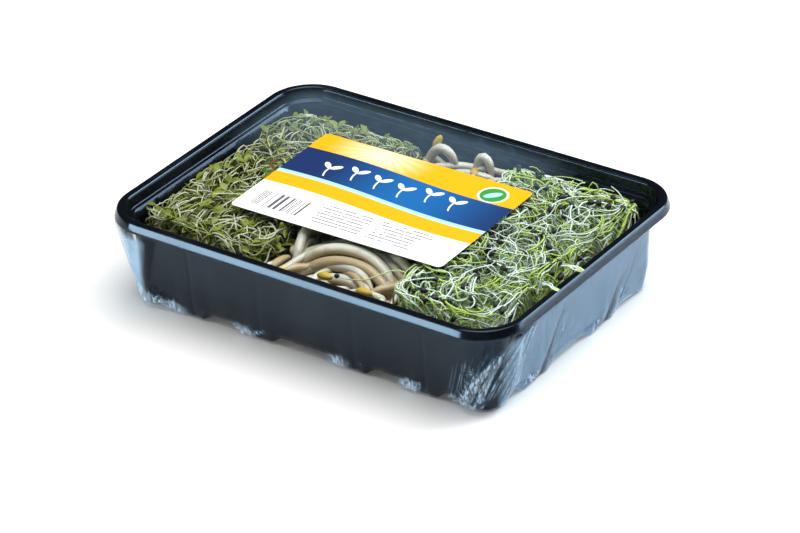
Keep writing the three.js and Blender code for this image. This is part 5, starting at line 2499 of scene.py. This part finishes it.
@dataclass
class Studio:
    """The pale floor, the lights and the camera."""

    azimuth: float = 35.21
    elevation: float = 30.07
    roll: float = -1.836
    distance: float = 1.5515
    lens: float = 180.0
    aside: float = -0.00325
    above: float = 0.0256
    floor: Colour = (0.86, 0.86, 0.86)
    floor_speckle: Colour = (0.7, 0.7, 0.7)
    floor_size: float = 6.0
    floor_level: float = -0.3

    def build(self) -> None:
        """Sets the floor, the world, the lights and the camera."""
        self.set_floor()
        self.set_world()
        for light in (
            Softbox("top_light", 90.0, 84.0, 1.3, (1.3, 1.2), 27.0, (1.0, 1.0, 0.98)),
            Softbox("right_back_light", 145.0, 30.0, 1.4, (0.8, 0.6), 24.0, (0.88, 0.95, 1.0)),
            Softbox("right_low_light", 134.0, 3.0, 1.5, (1.0, 0.26), 9.0, (0.72, 0.88, 1.0)),
            Softbox("left_front_light", -30.0, 5.5, 1.5, (1.1, 0.26), 19.5, (1.0, 1.0, 0.95)),
            Softbox("edge_light", -40.0, 38.0, 1.4, (0.95, 0.07), 2.4, (0.90, 0.95, 1.0)),
        ):
            light.build()
        self.set_camera()
        bpy.context.scene.view_settings.view_transform = "Standard"

    def set_floor(self) -> None:
        """Lays the floor."""
        half = self.floor_size / 2 / MM
        signs = ((-1, -1), (1, -1), (1, 1), (-1, 1))
        corners = np.array([(x * half, y * half, self.floor_level) for x, y in signs])
        mesh = mesh_from("floor", corners, [], [(0, 1, 2, 3)])
        graph = SurfaceGraph("floor_paint")
        speckle = graph.noise(graph.place(), 40.0, 3.0)
        colour = graph.mix(0.04 * speckle, self.floor, self.floor_speckle)
        mesh.materials.append(graph.finish({"Base Color": colour, "Roughness": 0.7}))
        link(bpy.data.objects.new("floor", mesh))

    def set_world(self) -> None:
        """Makes the surroundings dark for reflections and pale where the camera sees them."""
        world = bpy.data.worlds.new("studio")
        world.use_nodes = True
        graph = Graph(world.node_tree)
        graph.tree.nodes.clear()
        seen = graph.value("ShaderNodeLightPath", output="Is Camera Ray")
        dim = graph.value("ShaderNodeBackground", None, {"Color": (0.8, 0.9, 1.0, 1.0), "Strength": 0.03})
        pale = graph.value("ShaderNodeBackground", None, {"Color": (0.93, 0.94, 0.95, 1.0), "Strength": 1.0})
        mixed = graph.value("ShaderNodeMixShader", None, {0: seen, 1: dim, 2: pale})
        graph.node("ShaderNodeOutputWorld", None, {"Surface": mixed})
        bpy.context.scene.world = world

    def set_camera(self) -> None:
        """Places the camera at the photograph's angle."""
        azimuth, elevation, roll = (math.radians(a) for a in (self.azimuth, self.elevation, self.roll))
        back = toward(azimuth, elevation)
        right = Vector((math.cos(azimuth), math.sin(azimuth), 0.0))
        up = back.cross(right)
        cosine, sine = math.cos(roll), math.sin(roll)
        right, up = right * cosine + up * sine, up * cosine - right * sine
        camera = bpy.data.cameras.new("camera")
        camera.lens = self.lens
        camera.sensor_width = 36.0
        camera.clip_start, camera.clip_end = 0.05, 50.0
        item = link(bpy.data.objects.new("camera", camera))
        middle = Vector((0.0, 0.0, BEAD_TOP * MM)) - right * self.aside - up * self.above
        place = back * self.distance + middle
        turn = Matrix((right, up, back)).transposed().to_4x4()
        item.matrix_world = Matrix.Translation(place) @ turn
        bpy.context.scene.camera = item


def main() -> None:
    """Builds the pack and its studio."""
    logging.basicConfig(level=logging.INFO, format="%(name)s: %(message)s")
    Studio().build()
    tray = Tray()
    tray.build()
    mats = (CloverBed.mat, MungBed.mat, LeekBed.mat)
    for mat in mats:
        mat.build()
    pile = Pile(tray, mats)
    for kind in (MungBed, CloverBed, LeekBed):
        kind(pile).build()
    Film().build()
    Label().build()


if __name__ == "__main__":
    main()
